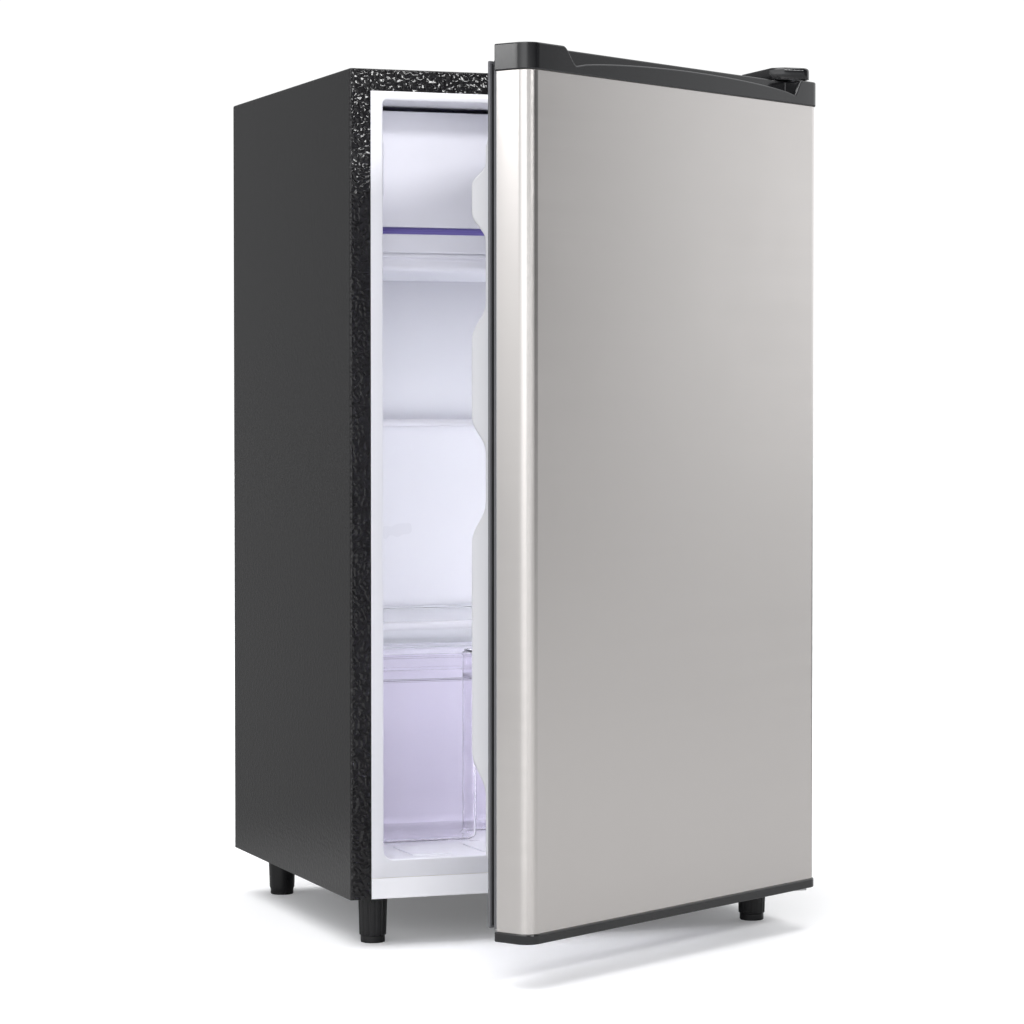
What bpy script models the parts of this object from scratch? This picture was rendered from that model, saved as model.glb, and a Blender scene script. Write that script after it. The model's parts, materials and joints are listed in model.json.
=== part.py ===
"""Compact refrigerator with one door, standing open as it would be shown.

Metres, +Z up. The front faces -Y and the hinges are on the +X side. The origin is on the floor, under the
middle of the whole object with its door open at DOOR_OPEN. Pieces of the door are modelled about the hinge
axis with the door shut, and an empty on that axis turns them open.
"""

import math

import bmesh
import bpy
from mathutils import Matrix, Vector

# Overall sizes
WIDTH = 0.465
DEPTH = 0.408  # cabinet, front flange to back panel
CABINET_TOP = 0.832
CABINET_BOTTOM = 0.046  # underside of the cabinet above the floor
DOOR_THICK = 0.038
DOOR_OPEN = 31.5  # degrees
GAP = 0.0003  # between pieces that touch

# Cabinet
SHEET = 0.001
BEND = 0.002
FLANGE = 0.0205  # wrapper edge turned in across the front
LINER = 0.0015
LINER_FLANGE = 0.0125
LINER_FLANGE_TOP = 0.0085
SILL = 0.020  # height of the lower front rail
SILL_LIP = 0.017  # liner flange above the rail
RAIL_SHEET = 0.0012
RAIL_RETURN = 0.018
BACK_WALL = 0.045  # liner back to back panel
CORNER = 0.012  # liner's rounded corners
BAY_DEPTH = 0.136  # compressor bay
BAY_TOP = 0.236
STEP_WALL = 0.031  # insulation over the bay
TUBE_ROOM = 0.006  # between wrapper and foam, for the condenser tubes
TRAY_SHEET = 0.0015

# Fittings inside
SIDE_PLAY = 0.002  # between a sliding piece and the liner
LEDGE = 0.007
LEDGE_HEIGHT = 0.006
GLASS = 0.004
TRIM_HEIGHT = 0.0065
TRIM_DEPTH = 0.016
TRIM_WALL = 0.0012
SHELF_SETBACK = 0.090
SHELF_OVER_CRISPER = 0.0278  # drawer's rim to the middle of the glass
UPPER_SHARE = 0.573  # of the way from the lower shelf to the drip tray
FREEZER_HEIGHT = 0.116  # ceiling to the lower edge of the freezer door
FREEZER_BACK_GAP = 0.056
FLAP_SETBACK = 0.060
FLAP_THICK = 0.008
FLAP_TOP_GAP = 0.0045
EVAPORATOR_SHEET = 0.0015
DRIP_DROP = 0.0067  # freezer door to the tray's rim
DRIP_HEIGHT = 0.0338
DRIP_FRONT = 0.018
DRIP_BACK_GAP = 0.068
WALL = 0.002  # moulded trays and drawers
CRISPER_SETBACK = 0.095
CRISPER_STEP = 0.060  # right part of the front stands back
CRISPER_SPLIT = -0.068
CRISPER_HEIGHT = 0.186
CRISPER_RISE = 0.002  # runners under it
CRISPER_FOOT = 0.007  # rounding of its bottom edges
RIDGE = 0.0022  # moulded line round the drawer
RIDGE_HEIGHT = 0.0035
RIDGE_DROP = 0.028
RIM = 0.005
KNOB_RADIUS = 0.017
KNOB_DEPTH = 0.011
THERMOSTAT_DROP = 0.0435  # drip tray to the knob's axis
THERMOSTAT_SETBACK = 0.160
THERMOSTAT_DEPTH = 0.030

# Door
HINGE_INSET = 0.020  # hinge axis from the right side
DOOR_SPACE = 0.012  # door to cabinet, filled by the gasket
DOOR_CORNER = 0.014
SKIN = 0.0008
SKIN_INSET = 0.0015
DOOR_BOTTOM = 0.041
BOTTOM_CAP = 0.009
TOP_CAP = 0.0255
DOOR_TOP_DROP = 0.0015  # door top below the cabinet top
CAP_WALL = 0.004
CAP_BEHIND = 0.0018  # caps reach back over the edge of the door liner
CAP_FREE_END, CAP_HINGE_END = 0.049, 0.0325  # full height at each end of the cap
CAP_FREE_SLOPE, CAP_HINGE_SLOPE = 0.020, 0.014
CAP_FREE_LOW, CAP_HINGE_LOW, CAP_CROWN, CAP_FULLNESS = 0.0093, 0.0105, 0.0188, 0.62
SCOOP_FLOOR = 0.005
LINER_RIB_INSET = 0.044
RIB_WIDTH = 0.016
RIB_DEPTH = 0.048
RIB_BULGE = 0.064
GASKET_WIDTH = 0.011
GASKET_INSET = 0.003
GASKET_HINGE_INSET = 0.0155
GASKET_END = 0.011
RACK_DEPTH = 0.061
# Each rack as shares of the skin's height: start, full, fall and end of the rib's bulge, rack floor, rack rim
RACK_SHARES = {"bottom": (0.149, 0.200, 0.451, 0.499, 0.158, 0.278),
               "middle": (0.558, 0.599, 0.693, 0.735, 0.569, 0.655),
               "top": (0.802, 0.833, 0.879, 0.896, 0.814, 0.879)}
PIN_RADIUS = 0.0035
PIN_REACH = 0.013
BUSH_RADIUS = 0.0058

# Hinges and feet
PLATE = 0.0022
COVER_HEIGHT = 0.011
COVER_WALL = 0.0015
LEG_TOP_RADIUS = 0.0145
LEG_RADIUS = 0.013
LEG_INSET = 0.033
LEG_SETBACK = 0.035
FOOT_RADIUS = 0.012
FOOT_HEIGHT = 0.007
STUD_RADIUS = 0.004
REAR_FOOT_INSET = 0.040
SCREW_SPREAD = 0.01715

# Worked out from the sizes above
OPEN = math.radians(DOOR_OPEN)
HALF = WIDTH / 2
HINGE_OFFSET = DOOR_SPACE + DOOR_THICK / 2  # hinge axis in front of the cabinet
FREE_X = HINGE_INSET - WIDTH  # door's free edge, from the hinge axis
REACH = (HINGE_OFFSET - (FREE_X + DOOR_CORNER) * math.sin(OPEN)
         + (DOOR_THICK / 2 - DOOR_CORNER) * math.cos(OPEN) + DOOR_CORNER)
FRONT = (REACH - DEPTH) / 2
BACK = FRONT + DEPTH
HINGE = Vector((HALF - HINGE_INSET, FRONT - HINGE_OFFSET, 0))
CAVITY_HALF = HALF - FLANGE - LINER_FLANGE
CEILING = CABINET_TOP - FLANGE - LINER_FLANGE_TOP
FLOOR = CABINET_BOTTOM + SILL + SILL_LIP
CAVITY_BACK = BACK - BACK_WALL
BULKHEAD = BACK - BAY_DEPTH
LOWER_SHELF = FLOOR + CRISPER_RISE + CRISPER_HEIGHT + SHELF_OVER_CRISPER  # middle of the glass
FREEZER_BOTTOM = CEILING - FREEZER_HEIGHT
DRIP_TOP = FREEZER_BOTTOM - DRIP_DROP
DRIP_BOTTOM = DRIP_TOP - DRIP_HEIGHT
UPPER_SHELF = LOWER_SHELF + UPPER_SHARE * (DRIP_BOTTOM - LOWER_SHELF)
STEP_Y = BULKHEAD - STEP_WALL
STEP_Z = BAY_TOP + STEP_WALL
DOOR_TOP = CABINET_TOP - DOOR_TOP_DROP
SKIN_BOTTOM = DOOR_BOTTOM + BOTTOM_CAP + GAP
SKIN_TOP = DOOR_TOP - TOP_CAP + 0.0015
DOOR_BACK = DOOR_THICK / 2  # door's back plane, from the hinge axis
LINER_BACK_FACE = DOOR_BACK + GAP + LINER
RACK_SIDE = LINER_RIB_INSET + RIB_WIDTH + 0.0006
RACKS = {name: [SKIN_BOTTOM + share * (SKIN_TOP - SKIN_BOTTOM) for share in shares]
         for name, shares in RACK_SHARES.items()}


def finish(name, color, roughness, metallic=0.0, alpha=1.0):
    made = bpy.data.materials.new(name)
    made.use_nodes = True
    shader = made.node_tree.nodes["Principled BSDF"]
    shader.inputs["Base Color"].default_value = (*color, 1)
    shader.inputs["Roughness"].default_value = roughness
    shader.inputs["Metallic"].default_value = metallic
    shader.inputs["Alpha"].default_value = alpha
    return made


def empty(name, place, turn=0.0):
    made = bpy.data.objects.new(name, None)
    made.location = place
    made.rotation_euler = (0, 0, turn)
    bpy.context.collection.objects.link(made)
    return made


def piece(name, bm, look, parent=None, place=(0, 0, 0)):
    bmesh.ops.recalc_face_normals(bm, faces=bm.faces)
    mesh = bpy.data.meshes.new(name)
    bm.to_mesh(mesh)
    bm.free()
    made = bpy.data.objects.new(name, mesh)
    made.location = place
    bpy.context.collection.objects.link(made)
    made.parent = parent
    if look:
        mesh.materials.append(look)
    return made


def box(low, high):
    bm = bmesh.new()
    bmesh.ops.create_cube(bm, size=1)
    size = Vector(high) - Vector(low)
    middle = (Vector(high) + Vector(low)) / 2
    bmesh.ops.transform(bm, matrix=Matrix.Translation(middle) @ Matrix.Diagonal((*size, 1)), verts=bm.verts)
    return bm


def prism(outline, axis, low, high):
    """Extrudes an outline along an axis: (y, z) along X, (x, z) along Y, (x, y) along Z."""
    place = {"X": lambda a, b: (low, a, b), "Y": lambda a, b: (a, low, b), "Z": lambda a, b: (a, b, low)}[axis]
    run = {"X": (high - low, 0, 0), "Y": (0, high - low, 0), "Z": (0, 0, high - low)}[axis]
    bm = bmesh.new()
    face = bm.faces.new([bm.verts.new(place(a, b)) for a, b in outline])
    grown = bmesh.ops.extrude_face_region(bm, geom=[face])
    moved = [v for v in grown["geom"] if isinstance(v, bmesh.types.BMVert)]
    bmesh.ops.translate(bm, vec=run, verts=moved)
    return bm


def turned(profile, sides=24, middle=(0, 0, 0), axis="Z", squash=1.0):
    """Turns a profile of (radius, height) about an axis through middle."""
    bm = bmesh.new()
    chain = [bm.verts.new((r, 0, z)) for r, z in profile]
    edges = [bm.edges.new(pair) for pair in zip(chain, chain[1:])]
    bmesh.ops.spin(bm, geom=chain + edges, cent=(0, 0, 0), axis=(0, 0, 1), angle=math.tau, steps=sides,
                   use_merge=True)
    bmesh.ops.remove_doubles(bm, verts=bm.verts, dist=1e-6)
    turn = {"Z": Matrix(), "X": Matrix.Rotation(math.pi / 2, 4, "Y"), "Y": Matrix.Rotation(-math.pi / 2, 4, "X")}
    shape = Matrix.Translation(middle) @ turn[axis] @ Matrix.Diagonal((1, squash, 1, 1))
    bmesh.ops.transform(bm, matrix=shape, verts=bm.verts)
    return bm


def round_edges(bm, wanted, radius, segments=3):
    edges = [e for e in bm.edges if wanted(*sorted((v.co for v in e.verts), key=tuple))]
    bmesh.ops.bevel(bm, geom=edges, offset=radius, segments=segments, profile=0.5, affect="EDGES",
                    clamp_overlap=True, material=-1)
    return bm


def smooth(made, angle=35):
    made.data.shade_smooth()
    made.data.set_sharp_from_angle(angle=math.radians(angle))
    return made


def combine(target, bm, operation):
    tool = piece(target.name + "_tool", bm, None, target.parent)
    tool.hide_render = True
    tool.display_type = "WIRE"
    step = target.modifiers.new(operation.lower(), "BOOLEAN")
    step.operation = operation
    step.object = tool
    return target


def cut(target, bm):
    return combine(target, bm, "DIFFERENCE")


def join(target, bm):
    return combine(target, bm, "UNION")


def arc(middle, radius, start, end, steps=5):
    """Points on an arc, angles in degrees."""
    angles = [math.radians(start + (end - start) * n / steps) for n in range(steps + 1)]
    return [(middle[0] + radius * math.cos(a), middle[1] + radius * math.sin(a)) for a in angles]


def pipe(name, points, radius, look, bend=0.012, parent=None):
    """A tube through the points, with each corner bent to a radius."""
    route = [Vector(points[0])]
    for before, corner, after in zip(points, points[1:], points[2:]):
        corner = Vector(corner)
        back, on = (Vector(before) - corner), (Vector(after) - corner)
        reach = min(bend, back.length * 0.45, on.length * 0.45)
        start, end = corner + back.normalized() * reach, corner + on.normalized() * reach
        for n in range(5):
            t = n / 4
            route.append(start.lerp(corner, t).lerp(corner.lerp(end, t), t))
    route.append(Vector(points[-1]))
    curve = bpy.data.curves.new(name, "CURVE")
    curve.dimensions = "3D"
    curve.bevel_depth = radius
    curve.bevel_resolution = 2
    curve.use_fill_caps = True
    spline = curve.splines.new("POLY")
    spline.points.add(len(route) - 1)
    for point, place in zip(spline.points, route):
        point.co = (*place, 1)
    curve.materials.append(look)
    made = bpy.data.objects.new(name, curve)
    bpy.context.collection.objects.link(made)
    made.parent = parent
    return made


def frame_ring(section, x_low, x_high, z_low, z_high):
    """A rectangular frame with mitred corners from a section of (distance in from the edge, y)."""
    bm = bmesh.new()
    loops = []
    for inset, y in section:
        corners = [(x_low + inset, z_low + inset), (x_high - inset, z_low + inset),
                   (x_high - inset, z_high - inset), (x_low + inset, z_high - inset)]
        loops.append([bm.verts.new((x, y, z)) for x, z in corners])
    for near, far in zip(loops, loops[1:] + loops[:1]):
        for n in range(4):
            m = (n + 1) % 4
            bm.faces.new((near[n], near[m], far[m], far[n]))
    return bm


def cavity(grow, mouth):
    """The space inside the liner from y = mouth, or with grow the liner's outer shape."""
    outline = [(mouth, FLOOR - grow), (STEP_Y + grow, FLOOR - grow), (STEP_Y + grow, STEP_Z - grow),
               (CAVITY_BACK + grow, STEP_Z - grow), (CAVITY_BACK + grow, CEILING + grow), (mouth, CEILING + grow)]
    side = CAVITY_HALF + grow

    def along_side(a, b):
        on_mouth = max(a.y, b.y) < mouth + 1e-6
        return abs(abs(a.x) - side) < 1e-6 and abs(a.x - b.x) < 1e-6 and not on_mouth
    return round_edges(prism(outline, "X", -side, side), along_side, CORNER + grow)


def outer_shell(looks):
    body = box((-HALF, FRONT, CABINET_BOTTOM), (HALF, BACK, CABINET_TOP))

    def bent(a, b):
        upright = abs(a.x - b.x) < 1e-6 and a.y < FRONT + 1e-6 and b.y < FRONT + 1e-6
        return upright or (a.z > CABINET_TOP - 1e-6 and b.z > CABINET_TOP - 1e-6 and not (
            a.y > BACK - 1e-6 and b.y > BACK - 1e-6))
    made = smooth(piece("outer_shell", round_edges(body, bent, BEND, 2), looks["shell"]))
    cut(made, box((-HALF + SHEET, FRONT + SHEET, CABINET_BOTTOM - 0.01), (HALF - SHEET, BACK + 0.01,
                                                                         CABINET_TOP - SHEET)))
    cut(made, box((-HALF + FLANGE, FRONT - 0.01, CABINET_BOTTOM - 0.01),
                  (HALF - FLANGE, FRONT + 0.01, CABINET_TOP - FLANGE)))


def inner_liner(looks):
    made = smooth(piece("inner_liner", cavity(LINER, FRONT + LINER / 2), looks["white"]))
    edge = HALF - FLANGE - GAP
    join(made, box((-edge, FRONT, CABINET_BOTTOM + SILL), (edge, FRONT + LINER, CABINET_TOP - FLANGE - GAP)))
    cut(made, cavity(0, FRONT - 0.01))
    inside, buried = CAVITY_HALF - LEDGE, CAVITY_HALF + LINER / 2
    supports = [(UPPER_SHELF - GLASS / 2, SHELF_SETBACK), (LOWER_SHELF - GLASS / 2, SHELF_SETBACK),
                (DRIP_TOP - RIM, FLAP_SETBACK)]
    for top, setback in supports:
        for side in (-1, 1):
            xs = sorted((side * inside, side * buried))
            join(made, box((xs[0], FRONT + setback + TRIM_DEPTH, top - GAP - LEDGE_HEIGHT),
                           (xs[1], CAVITY_BACK - CORNER, top - GAP)))


def insulation(looks):
    half = HALF - SHEET - TUBE_ROOM
    low = CABINET_BOTTOM + RAIL_SHEET + GAP
    made = piece("foam_insulation", box((-half, FRONT + LINER + GAP, low),
                                        (half, BACK - SHEET - GAP, CABINET_TOP - SHEET - GAP)), looks["foam"])
    cut(made, cavity(LINER + GAP, FRONT))
    cut(made, box((-HALF, BULKHEAD - GAP, CABINET_BOTTOM - 0.01), (HALF, BACK + 0.01, BAY_TOP + SHEET + GAP)))


def cabinet_sheets(looks):
    inner = HALF - SHEET - GAP
    piece("back_panel", box((-inner, BACK - SHEET, BAY_TOP + SHEET + GAP),
                            (inner, BACK, CABINET_TOP - SHEET - GAP)), looks["shell"])
    low = CABINET_BOTTOM
    rail = [(FRONT, low), (FRONT + RAIL_RETURN, low), (FRONT + RAIL_RETURN, low + RAIL_SHEET),
            (FRONT + RAIL_SHEET, low + RAIL_SHEET), (FRONT + RAIL_SHEET, low + SILL - GAP),
            (FRONT, low + SILL - GAP)]
    edge = HALF - FLANGE - GAP
    piece("lower_front_rail", prism(rail, "X", -edge, edge), looks["rail"])
    piece("base_plate", box((-inner, FRONT + RAIL_RETURN + GAP, low), (inner, BULKHEAD - GAP, low + SHEET)),
          looks["zinc"])
    wall = [(BULKHEAD, low), (BULKHEAD + SHEET, low), (BULKHEAD + SHEET, BAY_TOP), (BACK, BAY_TOP),
            (BACK, BAY_TOP + SHEET), (BULKHEAD, BAY_TOP + SHEET)]
    piece("compressor_bulkhead", prism(wall, "X", -inner, inner), looks["zinc"])
    piece("compressor_tray", box((-inner, BULKHEAD + SHEET + GAP, low), (inner, BACK, low + TRAY_SHEET)),
          looks["zinc"])


def compressor_bay(looks):
    middle = Vector((0.045, BACK - BAY_DEPTH / 2, 0))
    plate_z = CABINET_BOTTOM + TRAY_SHEET + 0.0105
    half_x, half_y = 0.074, 0.051
    height, seam = 0.128, 0.058
    dome = arc((0, 0), 1, 0, 90, 6)
    profile = [(0, 0), (half_x * 0.86, 0), (half_x * 0.97, 0.012), (half_x * 0.97, seam - 0.003),
               (half_x, seam - 0.002), (half_x, seam + 0.002), (half_x * 0.97, seam + 0.003)]
    profile += [(half_x * 0.97 * c, seam + 0.02 + (height - seam - 0.02) * s) for c, s in dome[:-1]]
    profile += [(0, height)]
    pot = turned(profile, 28, (middle.x, middle.y, plate_z), squash=half_y / half_x)
    made = smooth(piece("compressor", pot, looks["black_metal"]))
    feet_x, feet_y = 0.088, 0.034
    join(made, box((middle.x - feet_x - 0.010, middle.y - feet_y - 0.010, plate_z + 0.0004),
                   (middle.x + feet_x + 0.010, middle.y + feet_y + 0.010, plate_z + 0.0026)))
    spool_low = CABINET_BOTTOM + TRAY_SHEET + GAP
    spool_height = plate_z - spool_low + 0.0004 - GAP
    spool = [(0, 0), (0.009, 0), (0.009, 0.003), (0.006, 0.0035), (0.006, spool_height - 0.002),
             (0.008, spool_height - 0.0015), (0.008, spool_height), (0, spool_height)]
    corners = [(-1, -1), (1, -1), (-1, 1), (1, 1)]
    for n, (x, y) in enumerate(corners, 1):
        smooth(piece(f"compressor_grommet_{n}", turned(spool, 16), looks["rubber"],
                     place=(middle.x + x * feet_x, middle.y + y * feet_y, spool_low)))
    left = middle.x - half_x - 0.001
    cover = round_edges(box((left - 0.032, middle.y - 0.028, plate_z + 0.022),
                            (left, middle.y + 0.028, plate_z + 0.085)), lambda a, b: a.x < left - 0.03, 0.004, 2)
    piece("compressor_terminal_cover", cover, looks["black"])
    top = BAY_TOP - GAP
    side = middle.x + half_x + 0.001
    pipe("discharge_pipe", [(side, middle.y, plate_z + 0.040), (side + 0.030, middle.y, plate_z + 0.040),
                            (side + 0.030, middle.y, plate_z + 0.120), (HALF - 0.015, middle.y, plate_z + 0.120),
                            (HALF - 0.015, middle.y, top)], 0.003, looks["copper"])
    rear = middle.y + half_y + 0.001
    pipe("suction_pipe", [(middle.x, rear, plate_z + 0.045), (middle.x, rear + 0.009, plate_z + 0.045),
                          (middle.x, rear + 0.009, plate_z + 0.150), (middle.x - 0.04, middle.y, plate_z + 0.160),
                          (middle.x - 0.04, middle.y, top)], 0.004, looks["copper"])
    drier = [(0, 0), (0.0035, 0), (0.0035, 0.012), (0.010, 0.020), (0.010, 0.090), (0.003, 0.098),
             (0.003, 0.106), (0, 0.106)]
    drier_x = -HALF + 0.075
    smooth(piece("filter_drier", turned(drier, 16), looks["copper"], place=(drier_x, middle.y, plate_z + 0.02)))
    start = plate_z + 0.02 + 0.106 + GAP
    pipe("capillary_tube", [(drier_x, middle.y, start), (drier_x, middle.y, start + 0.022),
                            (drier_x + 0.05, middle.y, start + 0.022), (drier_x + 0.05, middle.y, top)],
         0.0014, looks["copper"], 0.008)
    gland = round_edges(box((-HALF + 0.030, BACK - 0.020, CABINET_BOTTOM + TRAY_SHEET + GAP),
                            (-HALF + 0.050, BACK - 0.004, CABINET_BOTTOM + TRAY_SHEET + 0.024)),
                        lambda a, b: abs(a.z - b.z) < 1e-6 and a.z > CABINET_BOTTOM + 0.02, 0.003, 2)
    made = piece("cord_gland", gland, looks["black"])
    cut(made, turned([(0, 0), (0.0038, 0), (0.0038, 0.03), (0, 0.03)], 12,
                     (-HALF + 0.040, BACK - 0.027, CABINET_BOTTOM + TRAY_SHEET + 0.013), "Y"))


def condenser_tubes(looks):
    radius = 0.0023
    runs, pitch = 4, 0.075
    low, high = BAY_TOP + 0.03, CABINET_TOP - 0.05
    start = FRONT + 0.06
    for name, side in (("left", -1), ("right", 1)):
        x = side * (HALF - SHEET - TUBE_ROOM / 2)
        points = []
        for n in range(runs):
            ends = (low, high) if n % 2 == 0 else (high, low)
            points += [(x, start + n * pitch, ends[0]), (x, start + n * pitch, ends[1])]
        pipe(f"condenser_tube_{name}", points, radius, looks["copper"], 0.03)


def freezer(looks):
    half = CAVITY_HALF - 0.0105
    top = CEILING - FLAP_TOP_GAP - 0.002
    front = FRONT + FLAP_SETBACK + FLAP_THICK + 0.004
    back = CAVITY_BACK - FREEZER_BACK_GAP
    made = piece("evaporator", box((-half, front, FREEZER_BOTTOM + GAP), (half, back, top)), looks["aluminium"])
    t = EVAPORATOR_SHEET
    cut(made, box((-half + t, front - 0.01, FREEZER_BOTTOM + GAP + t), (half - t, back - t, top - t)))
    axis = Vector((CAVITY_HALF - CORNER - 0.0005, FRONT + FLAP_SETBACK + FLAP_THICK / 2, 0))
    low, high = FREEZER_BOTTOM, CEILING - FLAP_TOP_GAP
    pin, reach = 0.0017, 0.006
    pivot = empty("freezer_flap_hinge", axis)
    far = -CAVITY_HALF + 0.0075 - axis.x
    near = 0.0055
    slab = box((far, -FLAP_THICK / 2, low), (near, FLAP_THICK / 2, high))
    slab = round_edges(slab, lambda a, b: abs(a.x - b.x) < 1e-6 and abs(a.y - b.y) < 1e-6, 0.003, 3)
    made = smooth(piece("freezer_door", slab, looks["frost"], pivot))
    for z in (low, high):
        hole = [(0, -reach - 0.001), (pin + GAP, -reach - 0.001), (pin + GAP, reach + 0.001), (0, reach + 0.001)]
        cut(made, turned(hole, 12, (0, 0, z)))
    grip = box((far - 0.01, -FLAP_THICK, low + 0.030), (far + 0.012, -FLAP_THICK / 2 + 0.003, low + 0.080))
    cut(made, grip)
    plate = 0.0028
    for name, face, way in (("top", high, 1), ("bottom", low, -1)):
        near_z, far_z = face + way * GAP * 2, face + way * (GAP * 2 + plate)
        zs = sorted((near_z, far_z))
        bracket = box((axis.x - 0.014, axis.y - 0.006, zs[0]), (axis.x + 0.003, axis.y + 0.024, zs[1]))
        made = piece(f"freezer_hinge_{name}", bracket, looks["white"])
        ends = sorted((near_z + way * plate / 2, face - way * reach))
        join(made, turned([(0, ends[0]), (pin, ends[0]), (pin, ends[1]), (0, ends[1])], 12, (axis.x, axis.y, 0)))


def drip_tray(looks):
    body = CAVITY_HALF - LEDGE - 0.001
    rim = CAVITY_HALF - SIDE_PLAY / 2
    front = FRONT + FLAP_SETBACK
    back = CAVITY_BACK - DRIP_BACK_GAP
    made = piece("drip_tray", box((-body, front + 0.001, DRIP_BOTTOM), (body, back, DRIP_TOP - 0.001)),
                 looks["frost"])
    join(made, box((-rim, front + TRIM_DEPTH / 2, DRIP_TOP - RIM), (rim, back - 0.002, DRIP_TOP - RIM + WALL)))
    join(made, box((-rim, front, DRIP_TOP - DRIP_FRONT), (rim, front + 0.004, DRIP_TOP)))
    cut(made, box((-body + WALL, front + 0.005, DRIP_BOTTOM + WALL), (body - WALL, back - WALL, DRIP_TOP + 0.01)))


def shelf(name, middle, looks):
    half = CAVITY_HALF - SIDE_PLAY / 2
    front, back = FRONT + SHELF_SETBACK, CAVITY_BACK - 0.004
    low, high = middle - GLASS / 2, middle + GLASS / 2
    pane = box((-half, front + TRIM_WALL + GAP, low), (half, back - TRIM_WALL - GAP, high))
    pane = round_edges(pane, lambda a, b: a.y > front + CORNER and abs(a.z - b.z) > GLASS / 2, CORNER)
    piece(f"{name}_glass", pane, looks["glass"])
    grip = TRIM_DEPTH - 0.004
    for part, edge, way, reach in (("trim", front, 1, half), ("rear_trim", back, -1, half - CORNER)):
        y = [edge, edge + way * TRIM_DEPTH, edge + way * TRIM_WALL, edge + way * grip]
        slot_low, slot_high = low - GAP, high + GAP
        bottom, top = middle - TRIM_HEIGHT / 2, middle + TRIM_HEIGHT / 2
        outline = [(y[0], bottom), (y[3], bottom), (y[3], slot_low), (y[2], slot_low), (y[2], slot_high),
                   (y[1], slot_high), (y[1], top), (y[0], top)]
        piece(f"{name}_{part}", prism(outline, "X", -reach, reach), looks["white"])


def crisper(looks):
    half = CAVITY_HALF - 0.0045
    low, high = FLOOR + CRISPER_RISE, FLOOR + CRISPER_RISE + CRISPER_HEIGHT
    front, back = FRONT + CRISPER_SETBACK, STEP_Y - 0.004
    step = front + CRISPER_STEP

    def outline(inset):
        r = max(0.014 - inset, 0.002)
        left, right, split = -half + inset, half - inset, CRISPER_SPLIT - inset
        points = arc((left + r, front + inset + r), r, 180, 270, 4)
        points += arc((split - r, front + inset + r), r, 270, 360, 4)
        points += arc((split + 0.006 + inset, step - 0.006), 0.006 + inset, 180, 90, 3)
        points += arc((right - r, step + inset + r), r, 270, 360, 4)
        points += arc((right - r, back - inset - r), r, 0, 90, 4)
        points += arc((left + r, back - inset - r), r, 90, 180, 4)
        return points
    def solid(inset, bottom, top, radius):
        return round_edges(prism(outline(inset), "Z", bottom, top),
                           lambda a, b: a.z < bottom + 1e-6 and b.z < bottom + 1e-6, radius, 3)
    made = smooth(piece("crisper_drawer", solid(0, low, high, CRISPER_FOOT), looks["clear"]))
    join(made, prism(outline(-RIDGE), "Z", high - RIDGE_DROP, high - RIDGE_DROP + RIDGE_HEIGHT))
    cut(made, solid(WALL, low + WALL, high + 0.01, CRISPER_FOOT - WALL))


def thermostat(looks):
    middle = Vector((CAVITY_HALF, FRONT + THERMOSTAT_SETBACK, DRIP_BOTTOM - THERMOSTAT_DROP))
    face = CAVITY_HALF - THERMOSTAT_DEPTH
    housing = box((face, middle.y - 0.040, middle.z - 0.036), (CAVITY_HALF - GAP, middle.y + 0.040,
                                                               middle.z + 0.036))
    housing = round_edges(housing, lambda a, b: a.x < face + 1e-6, 0.006, 3)
    made = smooth(piece("thermostat_housing", housing, looks["white"]))
    stem, bore = 0.003, 0.010
    cut(made, turned([(0, -0.001), (stem + GAP, -0.001), (stem + GAP, bore), (0, bore)], 16,
                     (face, middle.y, middle.z), "X"))
    r, d = KNOB_RADIUS, KNOB_DEPTH
    profile = [(0, -d - 0.001), (r * 0.78, -d - 0.001), (r * 0.88, -d), (r * 0.92, -0.003), (r, -0.0025),
               (r, -0.0008), (stem, -0.0008), (stem, bore - 0.002), (0, bore - 0.002)]
    pivot = empty("thermostat_knob_axis", (face, middle.y, middle.z))
    made = smooth(piece("thermostat_knob", turned(profile, 24, (0, 0, 0), "X"), looks["white"], pivot))
    join(made, box((-d - 0.003, -0.0025, -r * 0.72), (-d + 0.002, 0.0025, r * 0.72)))


def leg(name, middle, high, looks):
    tall = high - GAP
    low = FOOT_HEIGHT + GAP
    bore, deep = STUD_RADIUS + GAP, tall - 0.012
    profile = [(0, deep), (bore, deep), (bore, low), (LEG_RADIUS, low), (LEG_TOP_RADIUS, tall - 0.004),
               (LEG_TOP_RADIUS, tall), (0, tall)]
    smooth(piece(f"{name}_leg", turned(profile, 24), looks["black"], place=middle))
    foot = [(0, 0), (FOOT_RADIUS - 0.001, 0), (FOOT_RADIUS, 0.001), (FOOT_RADIUS, FOOT_HEIGHT),
            (STUD_RADIUS, FOOT_HEIGHT), (STUD_RADIUS, deep - 0.002), (0, deep - 0.002)]
    pivot = empty(f"{name}_foot_axis", middle)
    smooth(piece(f"{name}_foot", turned(foot, 24), looks["black"], pivot))


def feet(looks):
    x, y = HALF - LEG_INSET, FRONT + LEG_SETBACK
    leg("front_left", (-x, y, 0), CABINET_BOTTOM, looks)
    leg("front_right", (x, y, 0), CABINET_BOTTOM - PLATE - GAP, looks)
    profile = [(0, 0), (FOOT_RADIUS, 0), (FOOT_RADIUS, 0.005), (LEG_RADIUS, 0.008),
               (LEG_TOP_RADIUS, CABINET_BOTTOM - GAP), (0, CABINET_BOTTOM - GAP)]
    for name, side in (("left", -1), ("right", 1)):
        place = (side * (HALF - REAR_FOOT_INSET), BACK - REAR_FOOT_INSET, 0)
        smooth(piece(f"rear_{name}_foot", turned(profile, 24), looks["black"], place=place))


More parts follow.
